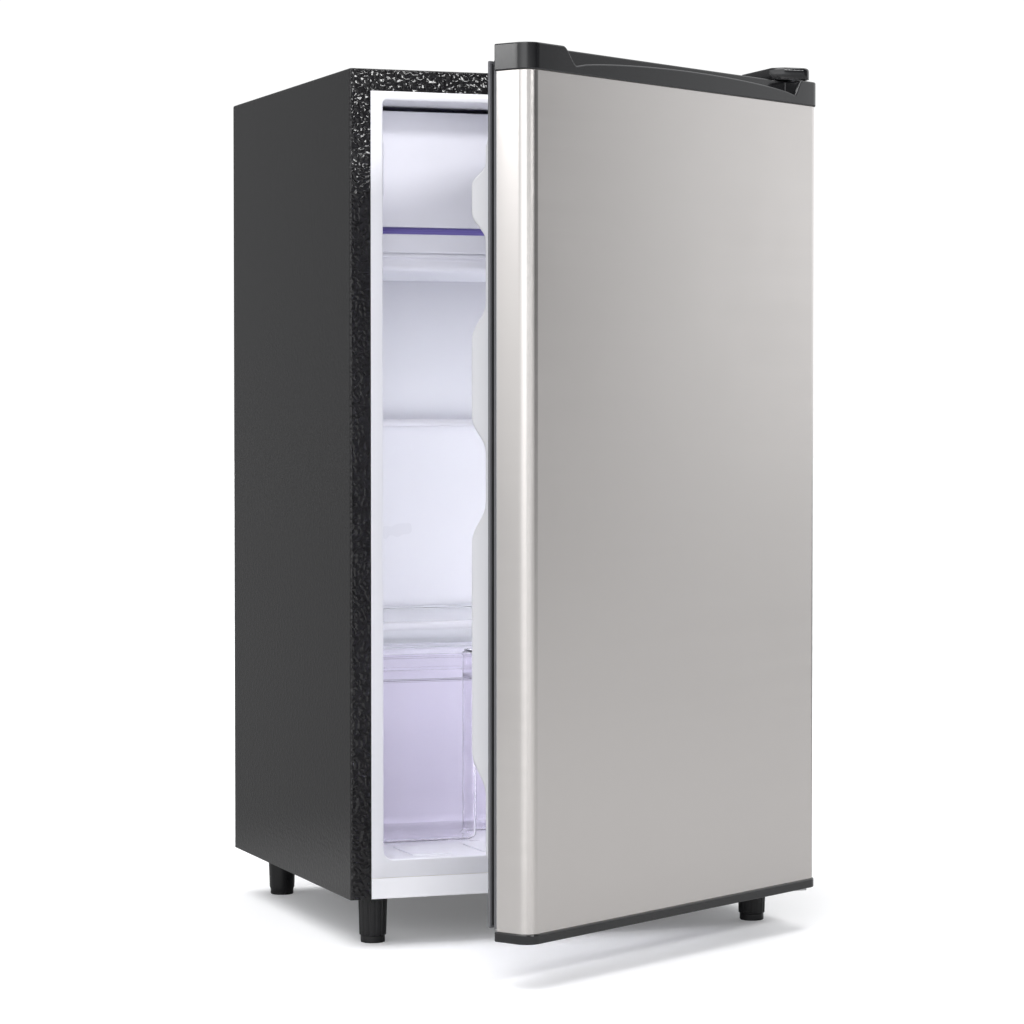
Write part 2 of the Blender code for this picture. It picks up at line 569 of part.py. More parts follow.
def top_hinge(looks):
    low = CABINET_TOP + GAP
    left, right = HINGE.x - 0.0295, HINGE.x + 0.0115
    front, back = HINGE.y - 0.0185, FRONT + 0.030
    chamfer, r = 0.011, 0.010

    def outline(inset):
        c = chamfer - inset * 0.4
        points = [(left + inset, back - inset), (left + inset, front + c + inset), (left + c + inset, front + inset)]
        points += arc((right - r, front + r), r - inset, 270, 360, 4)
        return points + [(right - inset, back - inset)]
    body = prism(outline(0), "Z", low, low + COVER_HEIGHT)
    made = smooth(piece("top_hinge_cover", body, looks["black"]))
    cut(made, prism(outline(COVER_WALL), "Z", low - 0.01, low + COVER_HEIGHT - COVER_WALL))
    plate = box((left + 0.004, HINGE.y - 0.009, low), (HINGE.x + 0.008, back - 0.004, low + PLATE))
    plate = round_edges(plate, lambda a, b: abs(a.z - b.z) > 1e-4 and a.y < HINGE.y, 0.006, 3)
    piece("top_hinge_bracket", plate, looks["steel"])
    pin = [(0, low - GAP - PIN_REACH), (PIN_RADIUS - 0.0006, low - GAP - PIN_REACH),
           (PIN_RADIUS, low - GAP - PIN_REACH + 0.001), (PIN_RADIUS, low - GAP), (0, low - GAP)]
    smooth(piece("top_hinge_pin", turned(pin, 20), looks["steel"], place=HINGE))


def bottom_hinge(looks):
    high = CABINET_BOTTOM - GAP
    under = DOOR_BOTTOM - 0.0006
    front, back = HINGE.y - 0.010, FRONT + 0.056
    outline = [(front, under - PLATE), (FRONT + 0.002, under - PLATE), (FRONT + 0.008, high - PLATE),
               (back, high - PLATE), (back, high), (FRONT + 0.006, high), (FRONT, under), (front, under)]
    plate = prism(outline, "X", HALF - LEG_INSET - 0.022, HALF - 0.0085)
    made = piece("bottom_hinge_bracket", plate, looks["steel"])
    base = under + GAP
    pin = [(0, base), (PIN_RADIUS, base), (PIN_RADIUS, base + PIN_REACH - 0.005),
           (PIN_RADIUS - 0.0006, base + PIN_REACH - 0.004), (0, base + PIN_REACH - 0.004)]
    smooth(piece("bottom_hinge_pin", turned(pin, 20), looks["steel"], place=HINGE))
    head = high - PLATE - GAP
    screw = [(0, head - 0.0025), (0.0026, head - 0.0025), (0.0042, head - 0.0012), (0.0042, head), (0, head)]
    for n, x in enumerate((-SCREW_SPREAD, SCREW_SPREAD), 1):
        smooth(piece(f"bottom_hinge_screw_{n}", turned(screw, 16), looks["steel"],
                     place=(HALF - LEG_INSET - 0.001 + x, FRONT + 0.0505, 0)))


def door_outline(inset, behind=0.0, steps=6):
    """The door seen from above, shut, about the hinge axis."""
    r = DOOR_CORNER - inset
    left, right = FREE_X + inset, HINGE_INSET - inset
    front, back = -DOOR_THICK / 2 + inset, DOOR_BACK + behind
    return ([(left, back)] + arc((left + r, front + r), r, 180, 270, steps)
            + arc((right - r, front + r), r, 270, 360, steps) + [(right, back)])


def cap_height(s):
    """Height of the top cap's front wall at a distance s from the free edge."""
    free, hinge = CAP_FREE_END + CAP_FREE_SLOPE, WIDTH - CAP_HINGE_END - CAP_HINGE_SLOPE

    def ease(t):
        return (1 - math.cos(math.pi * min(max(t, 0), 1))) / 2
    if s < free:
        return TOP_CAP + (CAP_FREE_LOW - TOP_CAP) * ease((s - CAP_FREE_END) / CAP_FREE_SLOPE)
    if s > hinge:
        return CAP_HINGE_LOW + (TOP_CAP - CAP_HINGE_LOW) * ease((s - hinge) / CAP_HINGE_SLOPE)
    t = (s - free) / (hinge - free)
    ends = CAP_FREE_LOW + (CAP_HINGE_LOW - CAP_FREE_LOW) * t
    return ends + (CAP_CROWN - (CAP_FREE_LOW + CAP_HINGE_LOW) / 2) * max(math.sin(math.pi * t), 0) ** CAP_FULLNESS


def door_shell(looks, pivot):
    outside, inside = door_outline(SKIN_INSET), door_outline(SKIN_INSET + SKIN)
    skin = prism(outside + inside[::-1], "Z", SKIN_BOTTOM, SKIN_TOP)
    smooth(piece("door_skin", skin, looks["stainless"], pivot))
    margin = SKIN_INSET + SKIN + GAP
    core = [(x, min(y, DOOR_BACK - 0.001)) for x, y in door_outline(margin)]
    piece("door_foam", prism(core, "Z", SKIN_BOTTOM + GAP, SKIN_TOP), looks["foam"], pivot)


def door_top_cap(looks, pivot):
    low = SKIN_TOP + GAP
    made = smooth(piece("door_top_cap", prism(door_outline(0, CAP_BEHIND), "Z", low, DOOR_TOP), looks["gloss"], pivot))
    base = DOOR_TOP - TOP_CAP
    free, hinge = CAP_FREE_END + CAP_FREE_SLOPE, WIDTH - CAP_HINGE_END - CAP_HINGE_SLOPE
    along = [CAP_FREE_END + CAP_FREE_SLOPE * n / 5 for n in range(1, 6)]
    along += [free + (hinge - free) * n / 12 for n in range(1, 13)]
    along += [hinge + CAP_HINGE_SLOPE * n / 4 for n in range(1, 4)]
    above = DOOR_TOP + 0.01
    dip = [(FREE_X + CAP_FREE_END, above)] + [(FREE_X + s, base + cap_height(s)) for s in along]
    dip.append((FREE_X + WIDTH - CAP_HINGE_END, above))
    front = -DOOR_THICK / 2
    cut(made, prism(dip, "Y", front - 0.01, front + CAP_WALL + 0.001))
    scoop = [(front + CAP_WALL, base + SCOOP_FLOOR + 0.003), (front + CAP_WALL + 0.005, base + SCOOP_FLOOR),
             (DOOR_BACK - CAP_WALL - 0.004, base + SCOOP_FLOOR), (DOOR_BACK - CAP_WALL, base + SCOOP_FLOOR + 0.004),
             (DOOR_BACK - CAP_WALL, above), (front + CAP_WALL, above)]
    cut(made, prism(scoop, "X", FREE_X + CAP_FREE_END, FREE_X + WIDTH - CAP_HINGE_END - 0.003))
    bore = BUSH_RADIUS + GAP
    deep = DOOR_TOP - PIN_REACH - 0.003
    cut(made, turned([(0, deep), (bore, deep), (bore, above), (0, above)], 20))
    bush = [(PIN_RADIUS + GAP, deep + 0.002), (BUSH_RADIUS, deep + 0.002), (BUSH_RADIUS, DOOR_TOP),
            (PIN_RADIUS + GAP, DOOR_TOP)]
    smooth(piece("door_top_bush", turned(bush + bush[:1], 20), looks["white"], pivot))


def door_bottom_cap(looks, pivot):
    high = DOOR_BOTTOM + BOTTOM_CAP
    block = prism(door_outline(0, CAP_BEHIND), "Z", DOOR_BOTTOM, high)
    made = smooth(piece("door_bottom_cap", block, looks["gloss"], pivot))
    bore = BUSH_RADIUS + GAP
    cut(made, turned([(0, DOOR_BOTTOM - 0.01), (bore, DOOR_BOTTOM - 0.01), (bore, high + 0.01), (0, high + 0.01)], 20))
    bush = [(PIN_RADIUS + GAP, DOOR_BOTTOM), (BUSH_RADIUS, DOOR_BOTTOM), (BUSH_RADIUS, high - GAP),
            (PIN_RADIUS + GAP, high - GAP)]
    smooth(piece("door_bottom_bush", turned(bush + bush[:1], 20), looks["white"], pivot))


def rib_outline():
    """Side rib of the door liner, (y, z), with a bulge at each rack."""
    base, deep = DOOR_BACK + RIB_DEPTH, DOOR_BACK + RIB_BULGE
    low, high = SKIN_BOTTOM + LINER_RIB_INSET, SKIN_TOP - LINER_RIB_INSET
    points = [(LINER_BACK_FACE - LINER / 2, low), (base - 0.010, low + 0.004), (base, low + 0.014)]
    for start, full, fall, end, floor, rim in RACKS.values():
        for n in range(5):
            ease = (1 - math.cos(math.pi * n / 4)) / 2
            points.append((base + (deep - base) * ease, start + (full - start) * n / 4))
        for n in range(5):
            ease = (1 + math.cos(math.pi * n / 4)) / 2
            points.append((base + (deep - base) * ease, fall + (end - fall) * n / 4))
    return points + [(base, high - 0.014), (base - 0.010, high - 0.004), (LINER_BACK_FACE - LINER / 2, high)]


def door_inside(looks, pivot):
    edge = SKIN_INSET + 0.002
    low, high = SKIN_BOTTOM, SKIN_TOP
    panel = box((FREE_X + edge, DOOR_BACK + GAP, low), (HINGE_INSET - edge, LINER_BACK_FACE, high))
    made = smooth(piece("door_liner", panel, looks["white"], pivot))
    left = FREE_X + LINER_RIB_INSET
    right = HINGE_INSET - LINER_RIB_INSET
    join(made, prism(rib_outline(), "X", left, left + RIB_WIDTH))
    join(made, prism(rib_outline(), "X", right - RIB_WIDTH, right))
    sill_low, sill_high = SKIN_BOTTOM + LINER_RIB_INSET, SKIN_TOP - LINER_RIB_INSET
    for z in (sill_low, sill_high - 0.012):
        join(made, box((left + RIB_WIDTH / 2, LINER_BACK_FACE - LINER / 2, z),
                       (right - RIB_WIDTH / 2, DOOR_BACK + RIB_DEPTH - 0.016, z + 0.012)))
    base = LINER_BACK_FACE + GAP
    head = DOOR_BACK + DOOR_SPACE - 0.0006
    w = GASKET_WIDTH
    section = [(0, base), (w, base), (w, base + 0.0032), (w - 0.003, base + 0.0038), (w - 0.003, head - 0.0038),
               (w, head - 0.0032), (w, head), (0, head), (0, head - 0.0032), (0.0025, head - 0.0038),
               (0.0025, base + 0.0038), (0, base + 0.0032)]
    ring = frame_ring(section, FREE_X + GASKET_INSET, HINGE_INSET - GASKET_HINGE_INSET,
                      DOOR_BOTTOM + GASKET_END, DOOR_TOP - GASKET_END - 0.003)
    piece("door_gasket", ring, looks["rubber"], pivot)


def door_racks(looks, pivot):
    left = FREE_X + RACK_SIDE
    right = HINGE_INSET - RACK_SIDE
    back, front = LINER_BACK_FACE + 0.001, DOOR_BACK + RACK_DEPTH
    r = 0.010

    def outline(inset):
        points = [(right - inset, back + inset)]
        points += arc((right - inset - r, front - inset - r), r, 0, 90, 4)
        points += arc((left + inset + r, front - inset - r), r, 90, 180, 4)
        return points + [(left + inset, back + inset)]
    for name, (*bulge, low, high) in RACKS.items():
        made = smooth(piece(f"door_rack_{name}", prism(outline(0), "Z", low, high), looks["frost"], pivot))
        cut(made, prism(outline(WALL), "Z", low + WALL, high + 0.01))


def main():
    for old in list(bpy.data.objects):
        bpy.data.objects.remove(old, do_unlink=True)
    looks = {
        "shell": finish("embossed_black_steel", (0.055, 0.055, 0.06), 0.55),
        "white": finish("white_liner", (0.80, 0.80, 0.84), 0.35),
        "rail": finish("white_rail", (0.82, 0.82, 0.86), 0.35),
        "frost": finish("white_fittings", (0.84, 0.84, 0.90), 0.30),
        "foam": finish("foam", (0.85, 0.78, 0.45), 0.9),
        "zinc": finish("zinc_sheet", (0.55, 0.56, 0.58), 0.45, 1.0),
        "black_metal": finish("compressor_paint", (0.015, 0.015, 0.016), 0.4),
        "rubber": finish("rubber", (0.03, 0.03, 0.032), 0.7),
        "black": finish("black_plastic", (0.012, 0.012, 0.013), 0.35),
        "gloss": finish("gloss_black", (0.010, 0.010, 0.012), 0.15),
        "copper": finish("copper", (0.72, 0.38, 0.24), 0.3, 1.0),
        "aluminium": finish("evaporator_aluminium", (0.78, 0.79, 0.82), 0.35, 1.0),
        "glass": finish("shelf_glass", (0.80, 0.90, 0.90), 0.05, 0.0, 0.35),
        "clear": finish("clear_plastic", (0.80, 0.85, 0.95), 0.08, 0.0, 0.35),
        "stainless": finish("brushed_stainless", (0.62, 0.61, 0.60), 0.32, 1.0),
        "steel": finish("plated_steel", (0.60, 0.60, 0.62), 0.3, 1.0),
    }
    outer_shell(looks)
    inner_liner(looks)
    insulation(looks)
    cabinet_sheets(looks)
    compressor_bay(looks)
    condenser_tubes(looks)
    freezer(looks)
    drip_tray(looks)
    shelf("upper_shelf", UPPER_SHELF, looks)
    shelf("lower_shelf", LOWER_SHELF, looks)
    crisper(looks)
    thermostat(looks)
    feet(looks)
    top_hinge(looks)
    bottom_hinge(looks)
    door = empty("door_hinge_axis", HINGE, OPEN)
    door_shell(looks, door)
    door_top_cap(looks, door)
    door_bottom_cap(looks, door)
    door_inside(looks, door)
    door_racks(looks, door)


main()
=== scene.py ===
import json
import math

import bmesh
import bpy
from mathutils import Matrix, Vector


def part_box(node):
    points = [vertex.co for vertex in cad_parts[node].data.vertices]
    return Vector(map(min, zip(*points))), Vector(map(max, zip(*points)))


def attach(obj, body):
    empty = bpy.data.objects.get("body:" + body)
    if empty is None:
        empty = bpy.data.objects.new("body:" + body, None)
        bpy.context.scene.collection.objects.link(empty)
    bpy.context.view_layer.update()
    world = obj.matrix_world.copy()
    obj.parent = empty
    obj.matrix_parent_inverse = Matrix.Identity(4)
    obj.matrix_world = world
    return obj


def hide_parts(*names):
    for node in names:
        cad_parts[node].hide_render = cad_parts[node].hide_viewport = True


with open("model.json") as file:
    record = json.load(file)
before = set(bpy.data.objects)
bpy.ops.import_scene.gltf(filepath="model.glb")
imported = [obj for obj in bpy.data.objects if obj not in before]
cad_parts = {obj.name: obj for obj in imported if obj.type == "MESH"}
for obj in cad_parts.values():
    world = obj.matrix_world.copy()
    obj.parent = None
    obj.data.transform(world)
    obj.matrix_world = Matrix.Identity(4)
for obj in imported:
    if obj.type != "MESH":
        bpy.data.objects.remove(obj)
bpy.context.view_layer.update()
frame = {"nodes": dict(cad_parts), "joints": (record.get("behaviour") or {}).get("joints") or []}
nodes = frame["nodes"]
joints = {joint["name"]: joint for joint in frame["joints"]}
print("frame loaded:", len(nodes), "nodes")

# Door pieces are modelled shut about the hinge axis, then turned to where the door stands
hinge = Vector((*joints["door_hinge"]["pos_m"][:2], 0))
openAngle = math.radians(-joints["door_hinge"]["range_deg"][0])
doorPose = Matrix.Translation(hinge) @ Matrix.Rotation(openAngle, 4, "Z")


def doorBox(node):
    shut = [doorPose.inverted() @ vert.co for vert in nodes[node].data.vertices]
    low = Vector([min(co[i] for co in shut) for i in range(3)])
    high = Vector([max(co[i] for co in shut) for i in range(3)])
    return low, high


# Mesh tools

close, tiny, speck = 1e-4, 1e-5, 1e-6  # how near counts as in line


def box(low, high):
    bm = bmesh.new()
    low, high = Vector(low), Vector(high)
    verts = bmesh.ops.create_cube(bm, size=1)["verts"]
    bmesh.ops.scale(bm, vec=high - low, verts=verts)
    bmesh.ops.translate(bm, vec=(low + high) / 2, verts=verts)
    return bm


def bevel(bm, wanted, offset, segments=3):
    edges = [edge for edge in bm.edges if wanted(*(vert.co for vert in edge.verts))]
    bmesh.ops.bevel(bm, geom=edges, offset=offset, segments=segments, profile=0.5, affect="EDGES",
                    clamp_overlap=True, material=-1)
    return bm


def drop(bm, wanted):
    # deletes the faces whose middle is wanted
    faces = [face for face in bm.faces if wanted(face.calc_center_median())]
    bmesh.ops.delete(bm, geom=faces, context="FACES")
    return bm


def cutAcross(bm, axis, *places):
    # cuts the whole mesh by planes across an axis
    normal = [1.0 if axis == letter else 0.0 for letter in "XYZ"]
    for place in places:
        geom = bm.verts[:] + bm.edges[:] + bm.faces[:]
        bmesh.ops.bisect_plane(bm, geom=geom, plane_co=[place * n for n in normal], plane_no=normal,
                               dist=speck)
    return bm


def raised(bm, low, high, depth, soft=0.0006):
    # pushes a band of wall between two heights out along its normals
    cutAcross(bm, "Z", low, high)
    band = [face for face in bm.faces
            if low < face.calc_center_median().z < high and abs(face.normal.z) < 0.5]
    bmesh.ops.inset_region(bm, faces=band, thickness=soft, depth=depth, use_even_offset=True,
                           use_boundary=False)
    return bm


def outline(points, axis, low, high):
    # a flat outline across the named axis, extruded along it from low to high
    bm = bmesh.new()
    place = {"X": lambda a, b: (low, a, b), "Y": lambda a, b: (a, low, b),
             "Z": lambda a, b: (a, b, low)}[axis]
    face = bm.faces.new([bm.verts.new(place(a, b)) for a, b in points])
    made = bmesh.ops.extrude_face_region(bm, geom=[face])["geom"]
    step = [high - low if axis == letter else 0 for letter in "XYZ"]
    bmesh.ops.translate(bm, vec=step, verts=[part for part in made if isinstance(part, bmesh.types.BMVert)])
    bmesh.ops.recalc_face_normals(bm, faces=bm.faces)
    return bm


def spun(profile, middle, axis="Z", steps=48, bm=None):
    # a profile of (radius, height) turned round an axis through middle
    part = bmesh.new()
    turn = {"Z": Matrix.Identity(4), "X": Matrix.Rotation(math.pi / 2, 4, "Y"),
            "Y": Matrix.Rotation(-math.pi / 2, 4, "X")}[axis]
    verts = [part.verts.new((radius, 0, height)) for radius, height in profile]
    edges = [part.edges.new(pair) for pair in zip(verts, verts[1:])]
    bmesh.ops.spin(part, geom=verts + edges, cent=(0, 0, 0), axis=(0, 0, 1), angle=2 * math.pi, steps=steps,
                   use_merge=True)
    bmesh.ops.remove_doubles(part, verts=part.verts, dist=speck)
    bmesh.ops.recalc_face_normals(part, faces=part.faces)
    bmesh.ops.transform(part, matrix=Matrix.Translation(Vector(middle)) @ turn, verts=part.verts)
    return part if bm is None else merged(bm, part)


def merged(bm, part):
    # adds one mesh to another
    carrier = bpy.data.meshes.new("carrier")
    part.to_mesh(carrier)
    part.free()
    bm.from_mesh(carrier)
    bpy.data.meshes.remove(carrier)
    return bm


def ringOf(section, low, high):
    # a section of (distance in from the edge, y) carried round an upright rectangle, mitred at its corners
    bm = bmesh.new()
    middle = ((low.x + high.x) / 2, (low.z + high.z) / 2)

    def corners(inset, y):
        return [(x + math.copysign(inset, middle[0] - x), y, z + math.copysign(inset, middle[1] - z))
                for x, z in ((low.x, low.z), (high.x, low.z), (high.x, high.z), (low.x, high.z))]
    verts = [bm.verts.new(co) for co in corners(*section[0])]
    first = [bm.edges.new(pair) for pair in zip(verts, verts[1:] + verts[:1])]
    loop = first
    for inset, y in section[1:]:
        made = bmesh.ops.extrude_edge_only(bm, edges=loop)["geom"]
        loop = [part for part in made if isinstance(part, bmesh.types.BMEdge)]
        moved = {vert for edge in loop for vert in edge.verts}
        targets = corners(inset, y)
        for vert in moved:
            vert.co = min(targets, key=lambda co: (co[0] - vert.co.x) ** 2 + (co[2] - vert.co.z) ** 2)
    bmesh.ops.bridge_loops(bm, edges=first + loop)
    bmesh.ops.recalc_face_normals(bm, faces=bm.faces)
    return bm


def arc(middle, radius, start, end, steps=6):
    angles = [math.radians(start + (end - start) * n / steps) for n in range(steps + 1)]
    return [(middle[0] + radius * math.cos(angle), middle[1] + radius * math.sin(angle)) for angle in angles]


def ease(t):
    return (1 - math.cos(math.pi * min(max(t, 0), 1))) / 2


def finished(name, bm, material, body, replaces=(), slot=None, pose=None, edge=0, wall=0, sharp=32):
    # the finished piece: edges rounded and walls given by live modifiers, riding on its body
    if pose is not None:
        bmesh.ops.transform(bm, matrix=pose, verts=bm.verts)
    mesh = bpy.data.meshes.new(name)
    bm.to_mesh(mesh)
    bm.free()
    obj = bpy.data.objects.new(name, mesh)
    bpy.context.scene.collection.objects.link(obj)
    mesh.materials.append(material)
    mesh.shade_smooth()
    mesh.set_sharp_from_angle(angle=math.radians(sharp))
    if wall:
        thick = obj.modifiers.new("wall", "SOLIDIFY")
        thick.thickness = wall
        thick.offset = -1
        thick.use_even_offset = True
    if edge:
        soft = obj.modifiers.new("roundEdges", "BEVEL")
        soft.width = edge
        soft.segments = 3
        soft.limit_method = "ANGLE"
        soft.angle_limit = math.radians(sharp)
    even = obj.modifiers.new("evenShade", "WEIGHTED_NORMAL")
    even.keep_sharp = True
    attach(obj, body)
    if replaces:
        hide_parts(*replaces)
    return obj


# Shader tools

def addNode(tree, kind, **settings):
    made = tree.nodes.new("ShaderNode" + kind)
    for key, value in settings.items():
        setattr(made, key, value)
    return made


def shaderGroup(name, inputs, outputs):
    tree = bpy.data.node_groups.new(name, "ShaderNodeTree")
    for label, kind, value in inputs:
        socket = tree.interface.new_socket(name=label, in_out="INPUT", socket_type="NodeSocket" + kind)
        if value is not None:
            socket.default_value = value
    for label, kind in outputs:
        tree.interface.new_socket(name=label, in_out="OUTPUT", socket_type="NodeSocket" + kind)
    return tree, tree.nodes.new("NodeGroupInput").outputs, tree.nodes.new("NodeGroupOutput").inputs


def noiseNode(tree, vector, scale, detail=2.0, roughness=0.5):
    made = addNode(tree, "TexNoise")
    made.inputs["Scale"].default_value = scale
    made.inputs["Detail"].default_value = detail
    made.inputs["Roughness"].default_value = roughness
    tree.links.new(vector, made.inputs["Vector"])
    return made


def mathNode(tree, operation, first, second=None, clamp=False):
    made = addNode(tree, "Math", operation=operation, use_clamp=clamp)
    for socket, value in zip(made.inputs, (first, second)):
        if isinstance(value, (int, float)):
            socket.default_value = value
        elif value is not None:
            tree.links.new(value, socket)
    return made.outputs[0]


def rangeNode(tree, value, low, high, out=(0.0, 1.0)):
    made = addNode(tree, "MapRange")
    for label, number in zip(("From Min", "From Max", "To Min", "To Max"), (low, high, *out)):
        made.inputs[label].default_value = number
    tree.links.new(value, made.inputs["Value"])
    return made.outputs[0]


def embossGroup():
    # worm-like emboss of pre-painted sheet: short ridges with a finer grain over them
    tree, given, made = shaderGroup("embossedSheet", [("Vector", "Vector", None), ("Cells", "Float", 300.0)],
                                    [("Height", "Float"), ("Hollow", "Float")])
    coarse = noiseNode(tree, given["Vector"], 300, 0.4, 0.4)
    tree.links.new(given["Cells"], coarse.inputs["Scale"])
    ridge = mathNode(tree, "ABSOLUTE", mathNode(tree, "SUBTRACT", coarse.outputs["Fac"], 0.5))
    ridge = rangeNode(tree, ridge, 0.0, 0.22)
    fine = noiseNode(tree, given["Vector"], 1400, 2)
    height = mathNode(tree, "ADD", ridge, mathNode(tree, "MULTIPLY", fine.outputs["Fac"], 0.03))
    tree.links.new(height, made["Height"])
    tree.links.new(rangeNode(tree, ridge, 0.35, 0.0), made["Hollow"])
    return tree


def brushGroup():
    # straight hairlines: along is the few ups and downs along a line, across is how many lines to the metre
    tree, given, made = shaderGroup("brushedLines", [("Vector", "Vector", None), ("Along", "Float", 9.0),
                                                     ("Across", "Float", 2600.0)],
                                    [("Height", "Float"), ("Tone", "Float")])
    scale = addNode(tree, "CombineXYZ")
    tree.links.new(given["Along"], scale.inputs["X"])
    tree.links.new(given["Along"], scale.inputs["Y"])
    tree.links.new(given["Across"], scale.inputs["Z"])
    stretch = addNode(tree, "VectorMath", operation="MULTIPLY")
    tree.links.new(given["Vector"], stretch.inputs[0])
    tree.links.new(scale.outputs[0], stretch.inputs[1])
    lines = noiseNode(tree, stretch.outputs[0], 1.0, 3, 0.6)
    soft = addNode(tree, "VectorMath", operation="MULTIPLY")
    soft.inputs[1].default_value = (0.35, 0.35, 0.045)
    tree.links.new(stretch.outputs[0], soft.inputs[0])
    bands = noiseNode(tree, soft.outputs[0], 1.0, 2)
    tree.links.new(lines.outputs["Fac"], made["Height"])
    tone = mathNode(tree, "ADD", mathNode(tree, "MULTIPLY", lines.outputs["Fac"], 0.55),
                    mathNode(tree, "MULTIPLY", bands.outputs["Fac"], 0.45))
    tree.links.new(tone, made["Tone"])
    return tree


def mouldGroup():
    # moulded or painted skin: fine grain and slow cloudy change
    tree, given, made = shaderGroup("mouldedSkin", [("Vector", "Vector", None), ("Grain", "Float", 900.0)],
                                    [("Height", "Float"), ("Cloud", "Float")])
    fine = noiseNode(tree, given["Vector"], 900, 2)
    tree.links.new(given["Grain"], fine.inputs["Scale"])
    slow = noiseNode(tree, given["Vector"], 11, 3)
    tree.links.new(fine.outputs["Fac"], made["Height"])
    tree.links.new(rangeNode(tree, slow.outputs["Fac"], 0.3, 0.7), made["Cloud"])
    return tree


def dustGroup():
    # dust that settles on what faces up, in patches
    tree, given, made = shaderGroup("settledDust",
                                    [("Color", "Color", (0.5, 0.5, 0.5, 1)), ("Vector", "Vector", None),
                                     ("Amount", "Float", 0.2)], [("Color", "Color"), ("Mask", "Float")])
    facing = addNode(tree, "NewGeometry")
    split = addNode(tree, "SeparateXYZ")
    tree.links.new(facing.outputs["Normal"], split.inputs[0])
    patches = noiseNode(tree, given["Vector"], 45, 5, 0.65)
    mask = mathNode(tree, "MULTIPLY", rangeNode(tree, split.outputs["Z"], 0.55, 1.0),
                    rangeNode(tree, patches.outputs["Fac"], 0.35, 0.75))
    mask = mathNode(tree, "MULTIPLY", mask, given["Amount"])
    mix = addNode(tree, "Mix", data_type="RGBA")
    mix.inputs["B"].default_value = (0.42, 0.40, 0.37, 1)
    tree.links.new(mask, mix.inputs["Factor"])
    tree.links.new(given["Color"], mix.inputs["A"])
    tree.links.new(mix.outputs["Result"], made["Color"])
    tree.links.new(mask, made["Mask"])
    return tree


embossedSheet, brushedLines, mouldedSkin, settledDust = embossGroup(), brushGroup(), mouldGroup(), dustGroup()


def newMaterial(name, turn=0.0):
    material = bpy.data.materials.new(name)
    material.use_nodes = True
    tree = material.node_tree
    shader = tree.nodes["Principled BSDF"]
    coords = addNode(tree, "TexCoord")
    mapping = addNode(tree, "Mapping")
    mapping.inputs["Rotation"].default_value = (0, 0, turn)
    tree.links.new(coords.outputs["Object"], mapping.inputs["Vector"])
    return material, tree, shader, mapping.outputs["Vector"]


def placed(tree, group, vector, **values):
    made = addNode(tree, "Group", node_tree=group)
    tree.links.new(vector, made.inputs["Vector"])
    for label, value in values.items():
        if isinstance(value, (int, float)):
            made.inputs[label].default_value = value
        else:
            tree.links.new(value, made.inputs[label])
    return made.outputs


def toned(tree, color, by, spread):
    # the colour, made darker and lighter by a mask
    made = addNode(tree, "Mix", data_type="RGBA")
    made.inputs["A"].default_value = (*[channel * (1 - spread) for channel in color], 1)
    made.inputs["B"].default_value = (*[min(1, channel * (1 + spread)) for channel in color], 1)
    tree.links.new(by, made.inputs["Factor"])
    return made.outputs["Result"]


def addBump(tree, shader, height, depth, strength=1.0):
    bump = addNode(tree, "Bump")
    bump.inputs["Distance"].default_value = depth
    bump.inputs["Strength"].default_value = strength
    tree.links.new(height, bump.inputs["Height"])
    tree.links.new(bump.outputs["Normal"], shader.inputs["Normal"])
    return bump


def setConstants(shader, constants):
    for label, value in constants.items():
        shader.inputs[label.replace("_", " ")].default_value = value


def moulded(name, color, roughness=0.35, grain=900.0, depth=0.00003, spread=0.03, dust=0.1, **constants):
    material, tree, shader, vector = newMaterial(name)
    skin = placed(tree, mouldedSkin, vector, Grain=grain)
    dusty = placed(tree, settledDust, vector, Amount=dust, Color=toned(tree, color, skin["Cloud"], spread))
    tree.links.new(dusty["Color"], shader.inputs["Base Color"])
    rough = rangeNode(tree, skin["Cloud"], 0, 1, (roughness * 0.9, roughness * 1.12))
    tree.links.new(mathNode(tree, "ADD", rough, mathNode(tree, "MULTIPLY", dusty["Mask"], 0.4)),
                   shader.inputs["Roughness"])
    addBump(tree, shader, skin["Height"], depth)
    setConstants(shader, constants)
    return material


def embossed(name, color, roughness, cells, depth, dust=0.02):
    material, tree, shader, vector = newMaterial(name)
    relief = placed(tree, embossedSheet, vector, Cells=cells)
    dusty = placed(tree, settledDust, vector, Amount=dust, Color=toned(tree, color, relief["Hollow"], 0.18))
    tree.links.new(dusty["Color"], shader.inputs["Base Color"])
    rough = rangeNode(tree, relief["Hollow"], 0, 1, (roughness, roughness * 1.3))
    tree.links.new(rough, shader.inputs["Roughness"])
    bump = addBump(tree, shader, relief["Height"], depth)
    # the sheet is rolled flatter where it wraps the sides
    facing = addNode(tree, "NewGeometry")
    parts = addNode(tree, "SeparateXYZ")
    tree.links.new(facing.outputs["True Normal"], parts.inputs[0])
    sideways = mathNode(tree, "ABSOLUTE", parts.outputs["X"])
    tree.links.new(rangeNode(tree, sideways, 0.3, 1.0, (1.0, 0.14)), bump.inputs["Strength"])
    return material


def brushed(name, color, roughness, depth, turn=0.0, along=9.0, across=2600.0, spread=0.05, **constants):
    material, tree, shader, vector = newMaterial(name, turn)
    lines = placed(tree, brushedLines, vector, Along=along, Across=across)
    skin = placed(tree, mouldedSkin, vector, Grain=60.0)
    tree.links.new(toned(tree, color, lines["Tone"], spread), shader.inputs["Base Color"])
    rough = rangeNode(tree, lines["Tone"], 0.3, 0.7, (roughness * 0.88, roughness * 1.1))
    smear = mathNode(tree, "MULTIPLY", skin["Cloud"], 0.03)
    tree.links.new(mathNode(tree, "ADD", rough, smear), shader.inputs["Roughness"])
    addBump(tree, shader, lines["Height"], depth)
    shader.inputs["Metallic"].default_value = 1.0
    setConstants(shader, constants)
    return material


